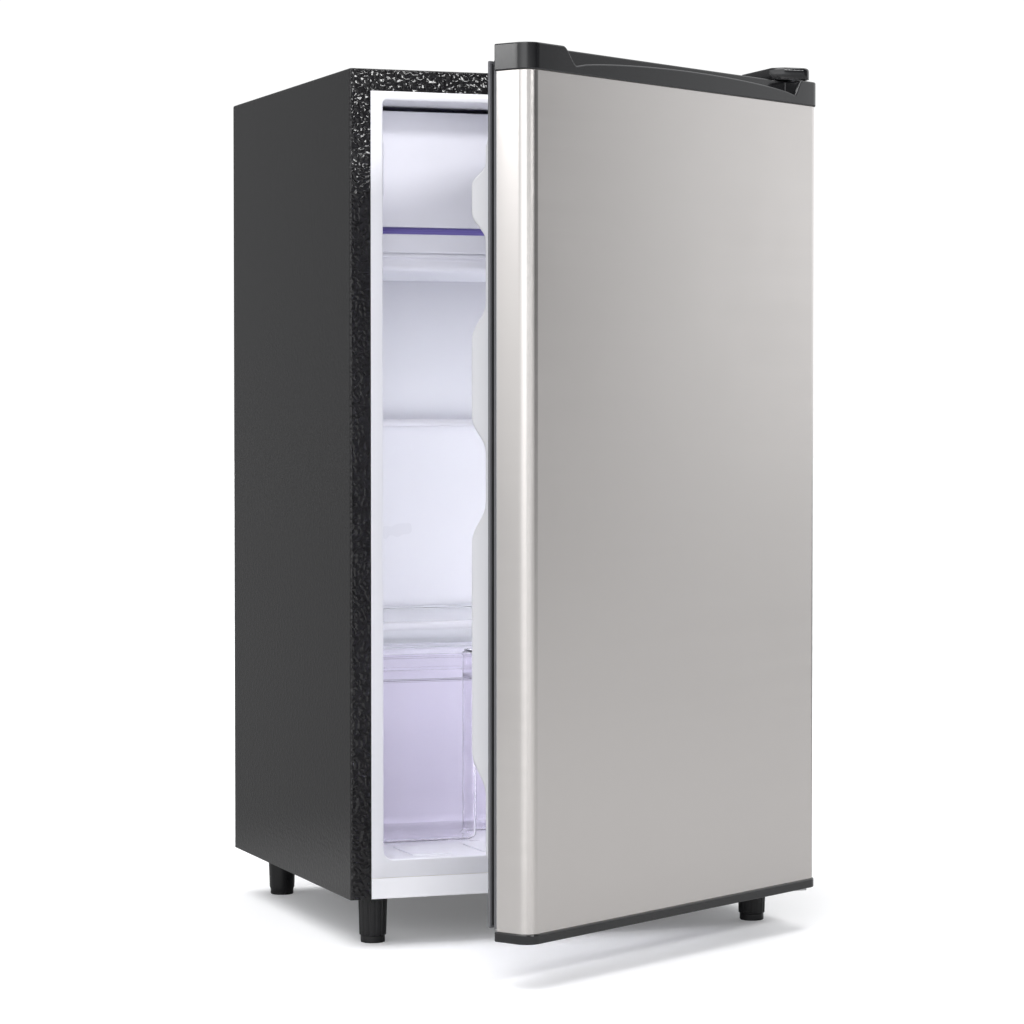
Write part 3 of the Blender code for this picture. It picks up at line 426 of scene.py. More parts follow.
def clear(name, color, roughness, ior, grain=500.0, depth=0.000012):
    material, tree, shader, vector = newMaterial(name)
    skin = placed(tree, mouldedSkin, vector, Grain=grain)
    tree.links.new(toned(tree, color, skin["Cloud"], 0.012), shader.inputs["Base Color"])
    rough = rangeNode(tree, skin["Cloud"], 0, 1, (roughness, roughness * 1.6))
    tree.links.new(rough, shader.inputs["Roughness"])
    addBump(tree, shader, skin["Height"], depth)
    shader.inputs["Transmission Weight"].default_value = 1.0
    shader.inputs["IOR"].default_value = ior
    # light passes straight through, so what lies behind is not in its shadow
    light = addNode(tree, "LightPath")
    passing = mathNode(tree, "MAXIMUM", light.outputs["Is Shadow Ray"], light.outputs["Is Diffuse Ray"])
    straight = addNode(tree, "BsdfTransparent")
    straight.inputs["Color"].default_value = (*color, 1)
    mix = addNode(tree, "MixShader")
    tree.links.new(mathNode(tree, "MULTIPLY", passing, 0.94), mix.inputs[0])
    tree.links.new(shader.outputs[0], mix.inputs[1])
    tree.links.new(straight.outputs[0], mix.inputs[2])
    tree.links.new(mix.outputs[0], tree.nodes["Material Output"].inputs["Surface"])
    return material


shellBlack = embossed("shellBlack", (0.009, 0.0085, 0.0095), 0.17, 190.0, 0.00060)
linerWhite = moulded("linerWhite", (0.75, 0.75, 0.80), 0.30, 700.0, 0.00002, 0.012)
doorWhite = moulded("doorWhite", (0.64, 0.64, 0.67), 0.34, 800.0, 0.00002, 0.012)
railWhite = moulded("railWhite", (0.90, 0.90, 0.94), 0.34, 1100.0, 0.00002, 0.015)
trimWhite = moulded("trimWhite", (0.82, 0.82, 0.88), 0.32, 900.0, 0.00002, 0.012)
flapWhite = moulded("flapWhite", (0.76, 0.76, 0.83), 0.38, 1300.0, 0.00003, 0.015)
steelSkin = brushed("steelSkin", (0.80, 0.765, 0.745), 0.19, 0.0000015, -openAngle, 6.0, 3000.0, 0.02,
                    Anisotropic=0.7)
glossBlack = moulded("glossBlack", (0.008, 0.008, 0.009), 0.14, 1600.0, 0.000006, 0.15, 0.02, IOR=1.62)
matBlack = moulded("matBlack", (0.009, 0.009, 0.010), 0.27, 1200.0, 0.00003, 0.15, 0.06)
gasketGrey = moulded("gasketGrey", (0.13, 0.13, 0.14), 0.50, 800.0, 0.00004, 0.05)
# near-black matt rubber used as painted shade, in the gasket's recess and at the bottom of the mitre grooves
paintedShadeBlack = moulded("paintedShadeBlack", (0.008, 0.008, 0.009), 0.60, 800.0, 0.00004, 0.1)
crisperClear = clear("crisperClear", (0.97, 0.96, 0.99), 0.05, 1.46)
shelfGlass = clear("shelfGlass", (0.975, 0.985, 0.985), 0.01, 1.50, 60.0, 0.000004)
platedSteel = brushed("platedSteel", (0.60, 0.60, 0.62), 0.28, 0.00002, 0, 60.0, 900.0, 0.08)
zincSheet = brushed("zincSheet", (0.52, 0.53, 0.55), 0.38, 0.00002, 0, 25.0, 60.0, 0.12)
# the evaporator's violet tint is painted shade, so the gaps above and below the freezer flap look dark purple
aluminiumPaintedGapShade = brushed("aluminiumPaintedGapShade", (0.26, 0.22, 0.56), 0.36, 0.00003, 0, 20.0, 500.0, 0.05,
                          Metallic=0.4)
copperTube = brushed("copperTube", (0.72, 0.36, 0.22), 0.30, 0.00002, 0, 40.0, 40.0, 0.15)
potPaint = moulded("potPaint", (0.014, 0.014, 0.015), 0.30, 420.0, 0.00010, 0.2, 0.25)
softRubber = moulded("softRubber", (0.03, 0.03, 0.03), 0.7, 700.0, 0.00006, 0.2, 0.3)
paleFoam = moulded("paleFoam", (0.78, 0.70, 0.48), 0.9, 500.0, 0.0004, 0.1)
bushNylon = moulded("bushNylon", (0.75, 0.74, 0.70), 0.45, 900.0, 0.00002, 0.03)
print("materials ready")


# Cabinet

shellLow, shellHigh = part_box("outer_shell")
linerLow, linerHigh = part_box("inner_liner")
shell = {"sheet": 0.001, "bend": 0.0022, "seam": 0.0012, "seamDepth": 0.0009, "gap": 0.0003,
         "stripClear": 0.0001, "stripShort": 0.003, "stripFront": 0.0004, "stripBack": 0.0008}
shell["flange"] = linerLow.x - shellLow.x - shell["gap"]


def shellWrapper():
    bm = box(shellLow, shellHigh)
    top, front, back, bottom = shellHigh.z, shellLow.y, shellHigh.y, shellLow.z

    def bent(a, b):
        upright = abs(a.x - b.x) < speck and max(a.y, b.y) < front + speck
        return upright or (min(a.z, b.z) > top - speck and min(a.y, b.y) < back - speck)
    bevel(bm, bent, shell["bend"], 5)
    drop(bm, lambda middle: middle.y > back - tiny or middle.z < bottom + tiny)
    across, down = shellHigh.x - shell["flange"], top - shell["flange"]
    flat = [face for face in bm.faces if face.normal.y < -0.999]
    planes = [((side * across, 0, 0), (1, 0, 0)) for side in (-1, 1)] + [((0, 0, down), (0, 0, 1))]
    for side in (-1, 1):
        corner = Vector((side * across, 0, down))
        slant = Vector((-side, 0, 1)).normalized()
        planes += [(corner + slant * offset, slant) for offset in (-shell["seam"] / 2, shell["seam"] / 2)]
    for place, normal in planes:
        geom = {part for face in flat for part in [face, *face.edges, *face.verts]}
        bmesh.ops.bisect_plane(bm, geom=list(geom), plane_co=place, plane_no=normal, dist=speck)
        flat = [face for face in bm.faces if face.normal.y < -0.999]
    drop(bm, lambda middle: middle.y < front + tiny and abs(middle.x) < across and middle.z < down)

    def onSeam(face):
        middle = face.calc_center_median()
        beside, above = abs(middle.x) - across, middle.z - down
        return middle.y < front + tiny and beside > 0 and abs(above - beside) < shell["seam"] * 0.6
    seam = [face for face in bm.faces if onSeam(face)]
    made = bmesh.ops.extrude_face_region(bm, geom=seam)["geom"]
    bmesh.ops.translate(bm, vec=(0, shell["seamDepth"], 0),
                        verts=[part for part in made if isinstance(part, bmesh.types.BMVert)])
    bmesh.ops.delete(bm, geom=seam, context="FACES_ONLY")
    finished("outerShell", bm, shellBlack, "cabinet", ["outer_shell"], "painted_shell", wall=shell["sheet"])
    # matt black strips at the bottom of the two mitre grooves, painted shade standing in for the shade inside
    # the grooves
    half = shell["seam"] / 2 - shell["stripClear"]
    reach = (shell["flange"] * math.sqrt(2) - shell["stripShort"]) / 2
    strips = bmesh.new()
    for side in (-1, 1):
        strip = box((-reach, front + shell["stripFront"], -half), (reach, front + shell["stripBack"], half))
        middle = Vector((side * (across + shell["flange"] / 2), 0, down + shell["flange"] / 2))
        turn = Matrix.Rotation(math.radians(-45 * side), 4, "Y")
        bmesh.ops.transform(strip, matrix=Matrix.Translation(middle) @ turn, verts=strip.verts)
        merged(strips, strip)
    finished("mitrePaintedShadeStrips", strips, paintedShadeBlack, "cabinet", slot="painted_shell")


cavity = {"half": 0.1995, "back": 0.29623, "ceiling": 0.803, "floor": 0.083, "stepY": 0.17423, "stepZ": 0.267,
          "corner": 0.010, "topCorner": 0.004, "lip": 0.0016, "wall": 0.0015, "diagonal": 1.02}


def innerLiner():
    front = linerLow.y
    half = cavity["half"]
    floor, ceiling = cavity["floor"], cavity["ceiling"]
    side = [(front, floor), (cavity["stepY"], floor), (cavity["stepY"], cavity["stepZ"]),
            (cavity["back"], cavity["stepZ"]), (cavity["back"], ceiling), (front, ceiling)]
    bm = outline(side, "X", -half, half)
    # rounded corners, tighter under the ceiling
    bevel(bm, lambda a, b: max(a.y, b.y) > front + tiny and min(a.z, b.z) > ceiling - tiny,
          cavity["topCorner"], 4)
    bevel(bm, lambda a, b: max(a.y, b.y) > front + tiny
          and min(a.z, b.z) < ceiling - cavity["topCorner"] - tiny
          and (max(a.y, b.y) > cavity["back"] - close or min(a.z, b.z) < cavity["stepZ"] + close),
          cavity["corner"], 6)
    drop(bm, lambda middle: middle.y < front + tiny)
    bmesh.ops.reverse_faces(bm, faces=bm.faces)
    rim = [edge for edge in bm.edges if edge.is_boundary]
    made = bmesh.ops.extrude_edge_only(bm, edges=rim)["geom"]
    edge, low, high = linerHigh.x, linerLow.z, linerHigh.z
    for vert in [part for part in made if isinstance(part, bmesh.types.BMVert)]:
        lower = vert.co.z < (floor + ceiling) / 2
        corner = cavity["corner"] if lower else cavity["topCorner"]
        middle = Vector((math.copysign(half - corner, vert.co.x), front,
                         floor + corner if lower else ceiling - corner))
        out = vert.co - middle
        target = Vector((math.copysign(edge, vert.co.x), front, low if out.z < 0 else high))
        rise, run = abs(out.z), abs(out.x)
        if abs(vert.co.x) < half - corner + tiny or rise > corner - tiny:
            vert.co = (vert.co.x, front, low if lower else high)
        elif run > corner - tiny:
            vert.co = (target.x, front, vert.co.z)
        elif run > rise * cavity["diagonal"]:
            vert.co = (target.x, front, middle.z + (target.z - middle.z) * rise / run)
        elif rise > run * cavity["diagonal"]:
            vert.co = (middle.x + (target.x - middle.x) * run / rise, front, target.z)
        else:
            vert.co = target
    mouth = [edge for edge in bm.edges if edge.is_manifold and edge.calc_face_angle(0) > 1.0
             and max(vert.co.y for vert in edge.verts) < front + tiny]
    bmesh.ops.bevel(bm, geom=mouth, offset=cavity["lip"], segments=4, profile=0.5, affect="EDGES",
                    material=-1)
    finished("innerLiner", bm, linerWhite, "cabinet", ["inner_liner"], "white_liner", wall=cavity["wall"])


ledge = {"width": 0.007, "sunk": 0.0008, "height": 0.006, "soft": 0.0016, "underGlass": 0.0004,
         "underRim": 0.0054, "setback": {"upper_shelf_glass": 0.016, "lower_shelf_glass": 0.016,
                                         "drip_tray": 0.020}}


def linerLedges():
    # the rails that the shelves and the tray slide on, one row each side
    bm = bmesh.new()
    for node, setback in ledge["setback"].items():
        low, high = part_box(node)
        top = low.z - ledge["underGlass"] if "shelf" in node else high.z - ledge["underRim"]
        for side in (-1, 1):
            xs = sorted((side * (cavity["half"] - ledge["width"]), side * (cavity["half"] + ledge["sunk"])))
            part = box((xs[0], low.y + setback, top - ledge["height"]),
                       (xs[1], cavity["back"] - cavity["corner"], top))
            bevel(part, lambda a, b: max(abs(a.x), abs(b.x)) < cavity["half"], ledge["soft"], 3)
            merged(bm, part)
    finished("linerLedges", bm, linerWhite, "cabinet", slot="white_liner")


floorRib = {"count": 5, "pitch": 0.072, "half": 0.020, "start": 0.018, "end": 0.084, "sunk": 0.0006,
            "rise": 0.0012, "corner": 0.005, "soft": 0.0005}


def linerFloorRibs():
    # low flat ribs across the front of the floor
    bm = bmesh.new()
    start, end = linerLow.y + floorRib["start"], linerLow.y + floorRib["end"]
    for n in range(floorRib["count"]):
        x = floorRib["pitch"] * (n - 2)
        part = box((x - floorRib["half"], start, cavity["floor"] - floorRib["sunk"]),
                   (x + floorRib["half"], end, cavity["floor"] + floorRib["rise"]))
        bevel(part, lambda a, b: abs(a.z - b.z) > 0.001, floorRib["corner"], 3)
        merged(bm, part)
    finished("linerFloorRibs", bm, linerWhite, "cabinet", slot="white_liner", edge=floorRib["soft"])


rail = {"sheet": 0.0012, "soft": 0.0004}


def frontRail():
    low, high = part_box("lower_front_rail")
    sheet = rail["sheet"]
    side = [(low.y, low.z), (high.y, low.z), (high.y, low.z + sheet), (low.y + sheet, low.z + sheet),
            (low.y + sheet, high.z), (low.y, high.z)]
    bm = outline(side, "X", low.x, high.x)
    finished("lowerFrontRail", bm, railWhite, "cabinet", ["lower_front_rail"], "white_rail",
             edge=rail["soft"])


# steps are (width, height) from the outside in, and the screw head is a half section
panel = {"steps": ((0.003, 0), (0.0008, -0.0006), (0.024, 0), (0.004, 0.0006)), "screws": 6,
         "screwIn": 0.012, "screwEnd": 0.02, "screwSunk": 0.0010,
         "screwHead": ((0, -0.0010), (0.0036, -0.0010), (0.0036, 0.0004), (0.0026, 0.0010), (0, 0.0010))}


def backPanel():
    low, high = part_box("back_panel")
    bm = box(low, high)
    face = [face for face in bm.faces if face.normal.y > 0.9]
    for width, height in panel["steps"]:
        bmesh.ops.inset_region(bm, faces=face, thickness=width, depth=height)
    gap = (high.z - low.z - 2 * panel["screwEnd"]) / (panel["screws"] - 1)
    for side in (-1, 1):
        for n in range(panel["screws"]):
            z = low.z + panel["screwEnd"] + gap * n
            middle = (side * (high.x - panel["screwIn"]), high.y - panel["screwSunk"], z)
            spun(panel["screwHead"], middle, "Y", 16, bm)
    finished("backPanel", bm, shellBlack, "cabinet", ["back_panel"], "painted_shell")


def cabinetFoam():
    # foam between shell and liner: a core that follows the liner's profile and a slab on each side
    low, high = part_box("foam_insulation")
    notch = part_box("compressor_bulkhead")
    out = cavity["wall"] + shell["gap"]
    notchY, notchZ = notch[0].y - shell["gap"], notch[1].z + shell["gap"]
    outer = [(low.y, low.z), (notchY, low.z), (notchY, notchZ), (high.y, notchZ), (high.y, high.z),
             (low.y, high.z)]
    floor, ceiling, step = cavity["floor"] - out, cavity["ceiling"] + out, cavity["stepZ"] - out
    inner = [(low.y, ceiling), (cavity["back"] + out, ceiling), (cavity["back"] + out, step),
             (cavity["stepY"] + out, step), (cavity["stepY"] + out, floor), (low.y, floor)]
    half, overlap = cavity["half"] + out, 0.0004
    bm = outline(outer + inner, "X", -half - overlap, half + overlap)
    bevel(bm, lambda a, b: abs(a.x - b.x) > 0.1 and abs(a.y - cavity["stepY"] - out) < tiny
          and abs(a.z - step) < tiny, cavity["corner"], 6)
    merged(bm, outline(outer, "X", low.x, -half))
    merged(bm, outline(outer, "X", half, high.x))
    finished("cabinetFoam", bm, paleFoam, "cabinet", ["foam_insulation"], "insulation")


shellWrapper()
cabinetFoam()
innerLiner()
linerLedges()
linerFloorRibs()
frontRail()
backPanel()
print("cabinet ready")


# Freezer compartment

flap = {"gripWidth": 0.012, "gripLow": 0.030, "gripHigh": 0.080, "gripDepth": 0.003, "ends": 0.0012,
        "soft": 0.0008}


def freezerFlap():
    low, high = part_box("freezer_door")
    bm = box(low, high)
    side, under, over = low.x + flap["gripWidth"], low.z + flap["gripLow"], low.z + flap["gripHigh"]
    cutAcross(bm, "X", side)
    cutAcross(bm, "Z", under, over)
    grip = [face for face in bm.faces if face.normal.y < -0.9 and face.calc_center_median().x < side
            and under < face.calc_center_median().z < over]
    made = bmesh.ops.extrude_face_region(bm, geom=grip)["geom"]
    bmesh.ops.translate(bm, vec=(0, flap["gripDepth"], 0),
                        verts=[part for part in made if isinstance(part, bmesh.types.BMVert)])
    bmesh.ops.delete(bm, geom=grip, context="FACES_ONLY")
    bevel(bm, lambda a, b: abs(a.z - b.z) < speck and abs(a.y - b.y) < speck
          and (a.z < low.z + speck or a.z > high.z - speck), flap["ends"], 3)
    finished("freezerFlap", bm, flapWhite, "freezer_flap", ["freezer_door"], "frosted_white",
             edge=flap["soft"])


evaporator = {"corner": 0.006, "channels": 5, "first": 0.040, "pitch": 0.042, "width": 0.008, "inset": 0.0025,
              "depth": 0.0014, "wall": 0.0015}


def evaporatorBox():
    low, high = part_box("evaporator")
    bm = box(low, high)
    drop(bm, lambda middle: middle.y < low.y + tiny)
    bevel(bm, lambda a, b: max(a.y, b.y) > low.y + tiny, evaporator["corner"], 4)
    # refrigerant channels blown into the sheet, under and over
    for n in range(evaporator["channels"]):
        y = low.y + evaporator["first"] + evaporator["pitch"] * n
        end = y + evaporator["width"]
        cutAcross(bm, "Y", y, end)
        band = [face for face in bm.faces
                if y < face.calc_center_median().y < end and abs(face.normal.z) > 0.95]
        bmesh.ops.inset_region(bm, faces=band, thickness=evaporator["inset"], depth=evaporator["depth"])
    # its violet tint is painted shade for the purple gaps round the freezer flap
    finished("evaporatorBox", bm, aluminiumPaintedGapShade, "cabinet", ["evaporator"], "evaporator_metal",
             wall=evaporator["wall"])


tray = {"lip": 0.018, "rim": 0.003, "side": 0.008, "front": 0.005, "back": 0.004, "taper": 0.985,
        "corner": 0.006, "foot": 0.004, "wall": 0.002, "spread": 1.008, "lipThick": 0.0045, "lipSoft": 0.0012}
traySteps = {"count": 3, "drop": 0.0042, "pitch": 0.0036, "height": 0.0030, "side": 0.003, "front": 0.0015,
             "back": 0.0025, "soft": 0.0006}


def dripTray():
    low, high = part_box("drip_tray")
    top = high.z - tray["rim"]
    body = box((low.x + tray["side"], low.y + tray["front"], low.z),
               (high.x - tray["side"], high.y - tray["back"], top))
    floor = [vert for vert in body.verts if vert.co.z < top - 0.001]
    middle = Vector((0, (low.y + high.y) / 2, 0))
    bmesh.ops.scale(body, vec=(tray["taper"], tray["taper"], 1), space=Matrix.Translation(-middle),
                    verts=floor)
    bevel(body, lambda a, b: abs(a.z - b.z) > 0.01, tray["corner"], 4)
    bevel(body, lambda a, b: max(a.z, b.z) < low.z + speck, tray["foot"], 4)
    drop(body, lambda middle: middle.z > top - tiny)
    rim = bmesh.ops.extrude_edge_only(body, edges=[edge for edge in body.edges if edge.is_boundary])["geom"]
    spread = (high.x / (high.x - tray["side"]), tray["spread"], 1)
    bmesh.ops.scale(body, vec=spread, space=Matrix.Translation(-middle),
                    verts=[part for part in rim if isinstance(part, bmesh.types.BMVert)])
    bmesh.ops.reverse_faces(body, faces=body.faces)
    finished("dripTray", body, flapWhite, "drip_tray", ["drip_tray"], "frosted_white", wall=tray["wall"])
    lip = box((low.x, low.y, high.z - tray["lip"]), (high.x, low.y + tray["lipThick"], high.z))
    finished("dripTrayLip", lip, flapWhite, "drip_tray", slot="frosted_white", edge=tray["lipSoft"])
    # stepped mouldings under the lip
    steps = bmesh.new()
    for n in range(traySteps["count"]):
        z = high.z - tray["lip"] - traySteps["drop"] - traySteps["pitch"] * n
        front = low.y + traySteps["front"] + traySteps["back"] * n
        back = low.y + tray["lipThick"] + traySteps["back"] * n
        merged(steps, box((low.x + traySteps["side"], front, z),
                          (high.x - traySteps["side"], back, z + traySteps["height"])))
    finished("dripTraySteps", steps, flapWhite, "drip_tray", slot="frosted_white", edge=traySteps["soft"])


freezerFlap()
evaporatorBox()
dripTray()
print("freezer ready")


# Shelves and crisper

pane = {"corner": 0.012, "soft": 0.0005, "gap": 0.0003, "trimWall": 0.0012, "trimGrip": 0.004,
        "trimFront": 0.0024, "trimTop": 0.0006}


def shelf(name):
    low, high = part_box(f"{name}_glass")
    bm = box(low, high)
    bevel(bm, lambda a, b: abs(a.z - b.z) > close and a.y > high.y - tiny, pane["corner"], 5)
    finished(f"{name}Glass", bm, shelfGlass, name, [f"{name}_glass"], "shelf_glass", edge=pane["soft"])
    gap = pane["gap"]
    for part, way in (("trim", 1), ("rear_trim", -1)):
        edge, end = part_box(f"{name}_{part}")
        near, far = (edge.y, end.y) if way > 0 else (end.y, edge.y)
        wall, grip = near + way * pane["trimWall"], far - way * pane["trimGrip"]
        side = [(near, edge.z), (grip, edge.z), (grip, low.z - gap), (wall, low.z - gap),
                (wall, high.z + gap), (far, high.z + gap), (far, end.z), (near, end.z)]
        bm = outline(side, "X", edge.x, end.x)
        bevel(bm, lambda a, b: abs(a.x - b.x) > 0.1 and abs(a.y - near) < speck, pane["trimFront"], 4)
        bevel(bm, lambda a, b: abs(a.x - b.x) > 0.1 and abs(a.y - far) < speck and a.z > high.z + 0.0005,
              pane["trimTop"], 2)
        finished(f"{name}{'Front' if way > 0 else 'Rear'}Trim", bm, trimWhite, name, [f"{name}_{part}"],
                 "white_liner")


crisper = {"step": 0.060, "split": -0.068, "corner": 0.014, "foot": 0.007, "wall": 0.002, "ridge": 0.0020,
           "ridgeDrop": 0.028, "ridgeHeight": 0.0035, "rimHeight": 0.0045, "rimSoft": 0.0006}


def crisperDrawer():
    low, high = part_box("crisper_drawer")
    out = crisper["ridge"]
    left, right, front, back = low.x + out, high.x - out, low.y + out, high.y - out
    split, step = crisper["split"], front + crisper["step"]
    plan = [(left, front), (split, front), (split, step), (right, step), (right, back), (left, back)]
    bm = outline(plan, "Z", low.z, high.z)
    bevel(bm, lambda a, b: abs(a.z - b.z) > 0.01, crisper["corner"], 6)
    bevel(bm, lambda a, b: max(a.z, b.z) < low.z + speck, crisper["foot"], 4)
    drop(bm, lambda middle: middle.z > high.z - tiny)
    ridgeLow = high.z - crisper["ridgeDrop"]
    raised(bm, ridgeLow, ridgeLow + crisper["ridgeHeight"], out)
    cutAcross(bm, "Z", high.z - crisper["rimHeight"])
    rim = [face for face in bm.faces if face.calc_center_median().z > high.z - crisper["rimHeight"]]
    bmesh.ops.inset_region(bm, faces=rim, thickness=crisper["rimSoft"], depth=out, use_even_offset=True,
                           use_boundary=False)
    finished("crisperDrawer", bm, crisperClear, "crisper", ["crisper_drawer"], "clear_plastic",
             wall=crisper["wall"], sharp=50)


shelf("upper_shelf")
shelf("lower_shelf")
crisperDrawer()
print("shelves ready")


# Thermostat

knob = {"ribs": 30, "rib": 0.0007, "ribInset": 0.0002, "bar": 0.005, "barFront": 0.0140, "barBack": 0.0112,
        "barShare": 0.68, "barRound": 0.0011, "stem": 0.003, "stemEnd": 0.008, "back": 0.0008}
# the knob's half section, as (share of the radius, height over the housing)
knobSection = ((0.72, 0.0118), (0.80, 0.0105), (0.86, 0.0035), (1, 0.0028), (1, 0.0008))
scale = {"marks": 7, "turn": 45, "from": -135, "half": 0.0002, "deep": 0.0005, "inner": 0.0195,
         "outer": 0.0225, "corner": 0.006}


def thermostat():
    low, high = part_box("thermostat_housing")
    bm = box(low, high)
    bevel(bm, lambda a, b: min(a.x, b.x) < low.x + speck, scale["corner"], 5)
    middle = Vector(joints["thermostat_turn"]["pos_m"])
    for n in range(scale["marks"]):  # scale marks round the knob
        angle = math.radians(scale["from"] + scale["turn"] * n)
        mark = box((-scale["half"], -scale["deep"], scale["inner"]),
                   (scale["half"], scale["deep"], scale["outer"]))
        bmesh.ops.transform(mark, matrix=Matrix.Translation((low.x, middle.y, middle.z))
                            @ Matrix.Rotation(angle, 4, "X"), verts=mark.verts)
        merged(bm, mark)
    finished("thermostatHousing", bm, trimWhite, "cabinet", ["thermostat_housing"], "white_liner")
    low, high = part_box("thermostat_knob")
    radius = (high.z - low.z) / 2
    face = middle.x
    profile = [(0, -knobSection[0][1])] + [(radius * share, -rise) for share, rise in knobSection]
    profile += [(knob["stem"], -knob["back"]), (knob["stem"], knob["stemEnd"]), (0, knob["stemEnd"])]
    bm = spun(profile, (face, middle.y, middle.z), "X", knob["ribs"] * 2)
    sides = [item for item in bm.faces if abs(item.normal.x) < 0.3
             and face - knobSection[1][1] < item.calc_center_median().x < face - knobSection[2][1]]
    sides.sort(key=lambda item: math.atan2(item.calc_center_median().z - middle.z,
                                           item.calc_center_median().y - middle.y))
    bmesh.ops.inset_individual(bm, faces=sides[::2], thickness=knob["ribInset"], depth=knob["rib"])
    half, reach = knob["bar"] / 2, radius * knob["barShare"]
    grip = box((face - knob["barFront"], middle.y - half, middle.z - reach),
               (face - knob["barBack"], middle.y + half, middle.z + reach))
    bevel(grip, lambda a, b: max(a.x, b.x) < face - knob["barFront"] + close or abs(a.x - b.x) > 0.001,
          knob["barRound"], 3)
    merged(bm, grip)
    finished("thermostatKnob", bm, trimWhite, "thermostat_knob", ["thermostat_knob"], "white_liner", sharp=40)


thermostat()
print("thermostat ready")


# Door

skinLow, skinHigh = doorBox("door_skin")
capLow, capHigh = doorBox("door_top_cap")
footLow, footHigh = doorBox("door_bottom_cap")
door = {"corner": 0.014, "skin": 0.0008, "width": capHigh.x - capLow.x, "wall": 0.004, "capRound": 0.0012}


def doorSkin():
    bm = box(skinLow, skinHigh)
    drop(bm, lambda middle: middle.y > skinHigh.y - tiny or middle.z > skinHigh.z - tiny
         or middle.z < skinLow.z + tiny)
    bevel(bm, lambda a, b: max(a.y, b.y) < skinLow.y + tiny and abs(a.z - b.z) > 0.1,
          door["corner"] - (skinLow.x - capLow.x), 10)
    wrap = bm.loops.layers.uv.new("wrap")  # u runs up the door, so the gloss spreads across the hairlines
    for face in bm.faces:
        for loop in face.loops:
            loop[wrap].uv = (loop.vert.co.z, loop.vert.co.x - loop.vert.co.y)
    finished("doorSkin", bm, steelSkin, "door", ["door_skin"], "brushed_stainless", doorPose,
             wall=door["skin"])


tree = steelSkin.node_tree
grainWay = addNode(tree, "Tangent", direction_type="UV_MAP", uv_map="wrap")
tree.links.new(grainWay.outputs[0], tree.nodes["Principled BSDF"].inputs["Tangent"])

topCap = {"full": 0.0255, "freeEnd": 0.049, "hingeEnd": 0.0325, "freeSlope": 0.020, "hingeSlope": 0.014,
          "freeLow": 0.0093, "hingeLow": 0.0105, "crown": 0.0188, "fullness": 0.62, "scoopFloor": 0.005,
          "scoopBack": 0.019, "scoopEnd": 0.003}


def capFront(s):
    # height of the cap's front wall at a distance s from the door's free edge
    full, freeLow, hingeLow = topCap["full"], topCap["freeLow"], topCap["hingeLow"]
    free = topCap["freeEnd"] + topCap["freeSlope"]
    last = door["width"] - topCap["hingeEnd"] - topCap["hingeSlope"]
    if s < free:
        return full + (freeLow - full) * ease((s - topCap["freeEnd"]) / topCap["freeSlope"])
    if s > last:
        return hingeLow + (full - hingeLow) * ease((s - last) / topCap["hingeSlope"])
    t = (s - free) / (last - free)
    ends = freeLow + (hingeLow - freeLow) * t
    rise = max(math.sin(math.pi * t), 0) ** topCap["fullness"]
    return ends + (topCap["crown"] - (freeLow + hingeLow) / 2) * rise


def doorTopCap():
    bm = box(capLow, capHigh)
    bevel(bm, lambda a, b: abs(a.z - b.z) > 0.01 and a.y < capLow.y + tiny, door["corner"], 8)
    start, end = topCap["freeEnd"], door["width"] - topCap["hingeEnd"]
    free, last = start + topCap["freeSlope"], end - topCap["hingeSlope"]
    stops = [start + (free - start) * n / 10 for n in range(11)]
    stops += [free + (last - free) * n / 26 for n in range(1, 27)]
    stops += [last + (end - last) * n / 8 for n in range(1, 9)]
    cutAcross(bm, "X", *[capLow.x + s for s in stops])
    inner, outer = capLow.y + door["wall"], capLow.y + topCap["scoopBack"]
    cutAcross(bm, "Y", inner, outer)
    well = [face for face in bm.faces if face.normal.z > 0.9 and inner < face.calc_center_median().y < outer
            and start < face.calc_center_median().x - capLow.x < end - topCap["scoopEnd"]]
    made = bmesh.ops.extrude_face_region(bm, geom=well)["geom"]
    bmesh.ops.delete(bm, geom=well, context="FACES_ONLY")
    base = capHigh.z - topCap["full"]
    sunk = [part for part in made if isinstance(part, bmesh.types.BMVert)]
    for vert in sunk:
        vert.co.z = base + topCap["scoopFloor"]
    for vert in bm.verts:
        s = vert.co.x - capLow.x
        if vert.co.z > capHigh.z - tiny and vert.co.y < inner + tiny and start < s < end:
            vert.co.z = base + capFront(s)
    finished("doorTopCap", bm, glossBlack, "door", ["door_top_cap"], "gloss_black", doorPose,
             edge=door["capRound"])


def doorBottomCap():
    bm = box(footLow, footHigh)
    bevel(bm, lambda a, b: abs(a.z - b.z) > 0.005 and a.y < footLow.y + tiny, door["corner"], 8)
    finished("doorBottomCap", bm, glossBlack, "door", ["door_bottom_cap"], "gloss_black", doorPose,
             edge=door["capRound"])


# the strip holds the magnet, the bellows fold behind it and the foot clips to the liner
gasket = {"width": 0.011, "strip": 0.0026, "stripBack": 0.0030, "stripRound": 0.0004, "fold": 0.0048,
          "foldEnd": 0.0068, "foldIn": 0.0024, "foldWaist": 0.0044, "foot": 0.0020, "footTop": 0.0027,
          "footIn": 0.0018, "stripIn": 0.002, "stripSoft": 0.0005, "footSoft": 0.0004}


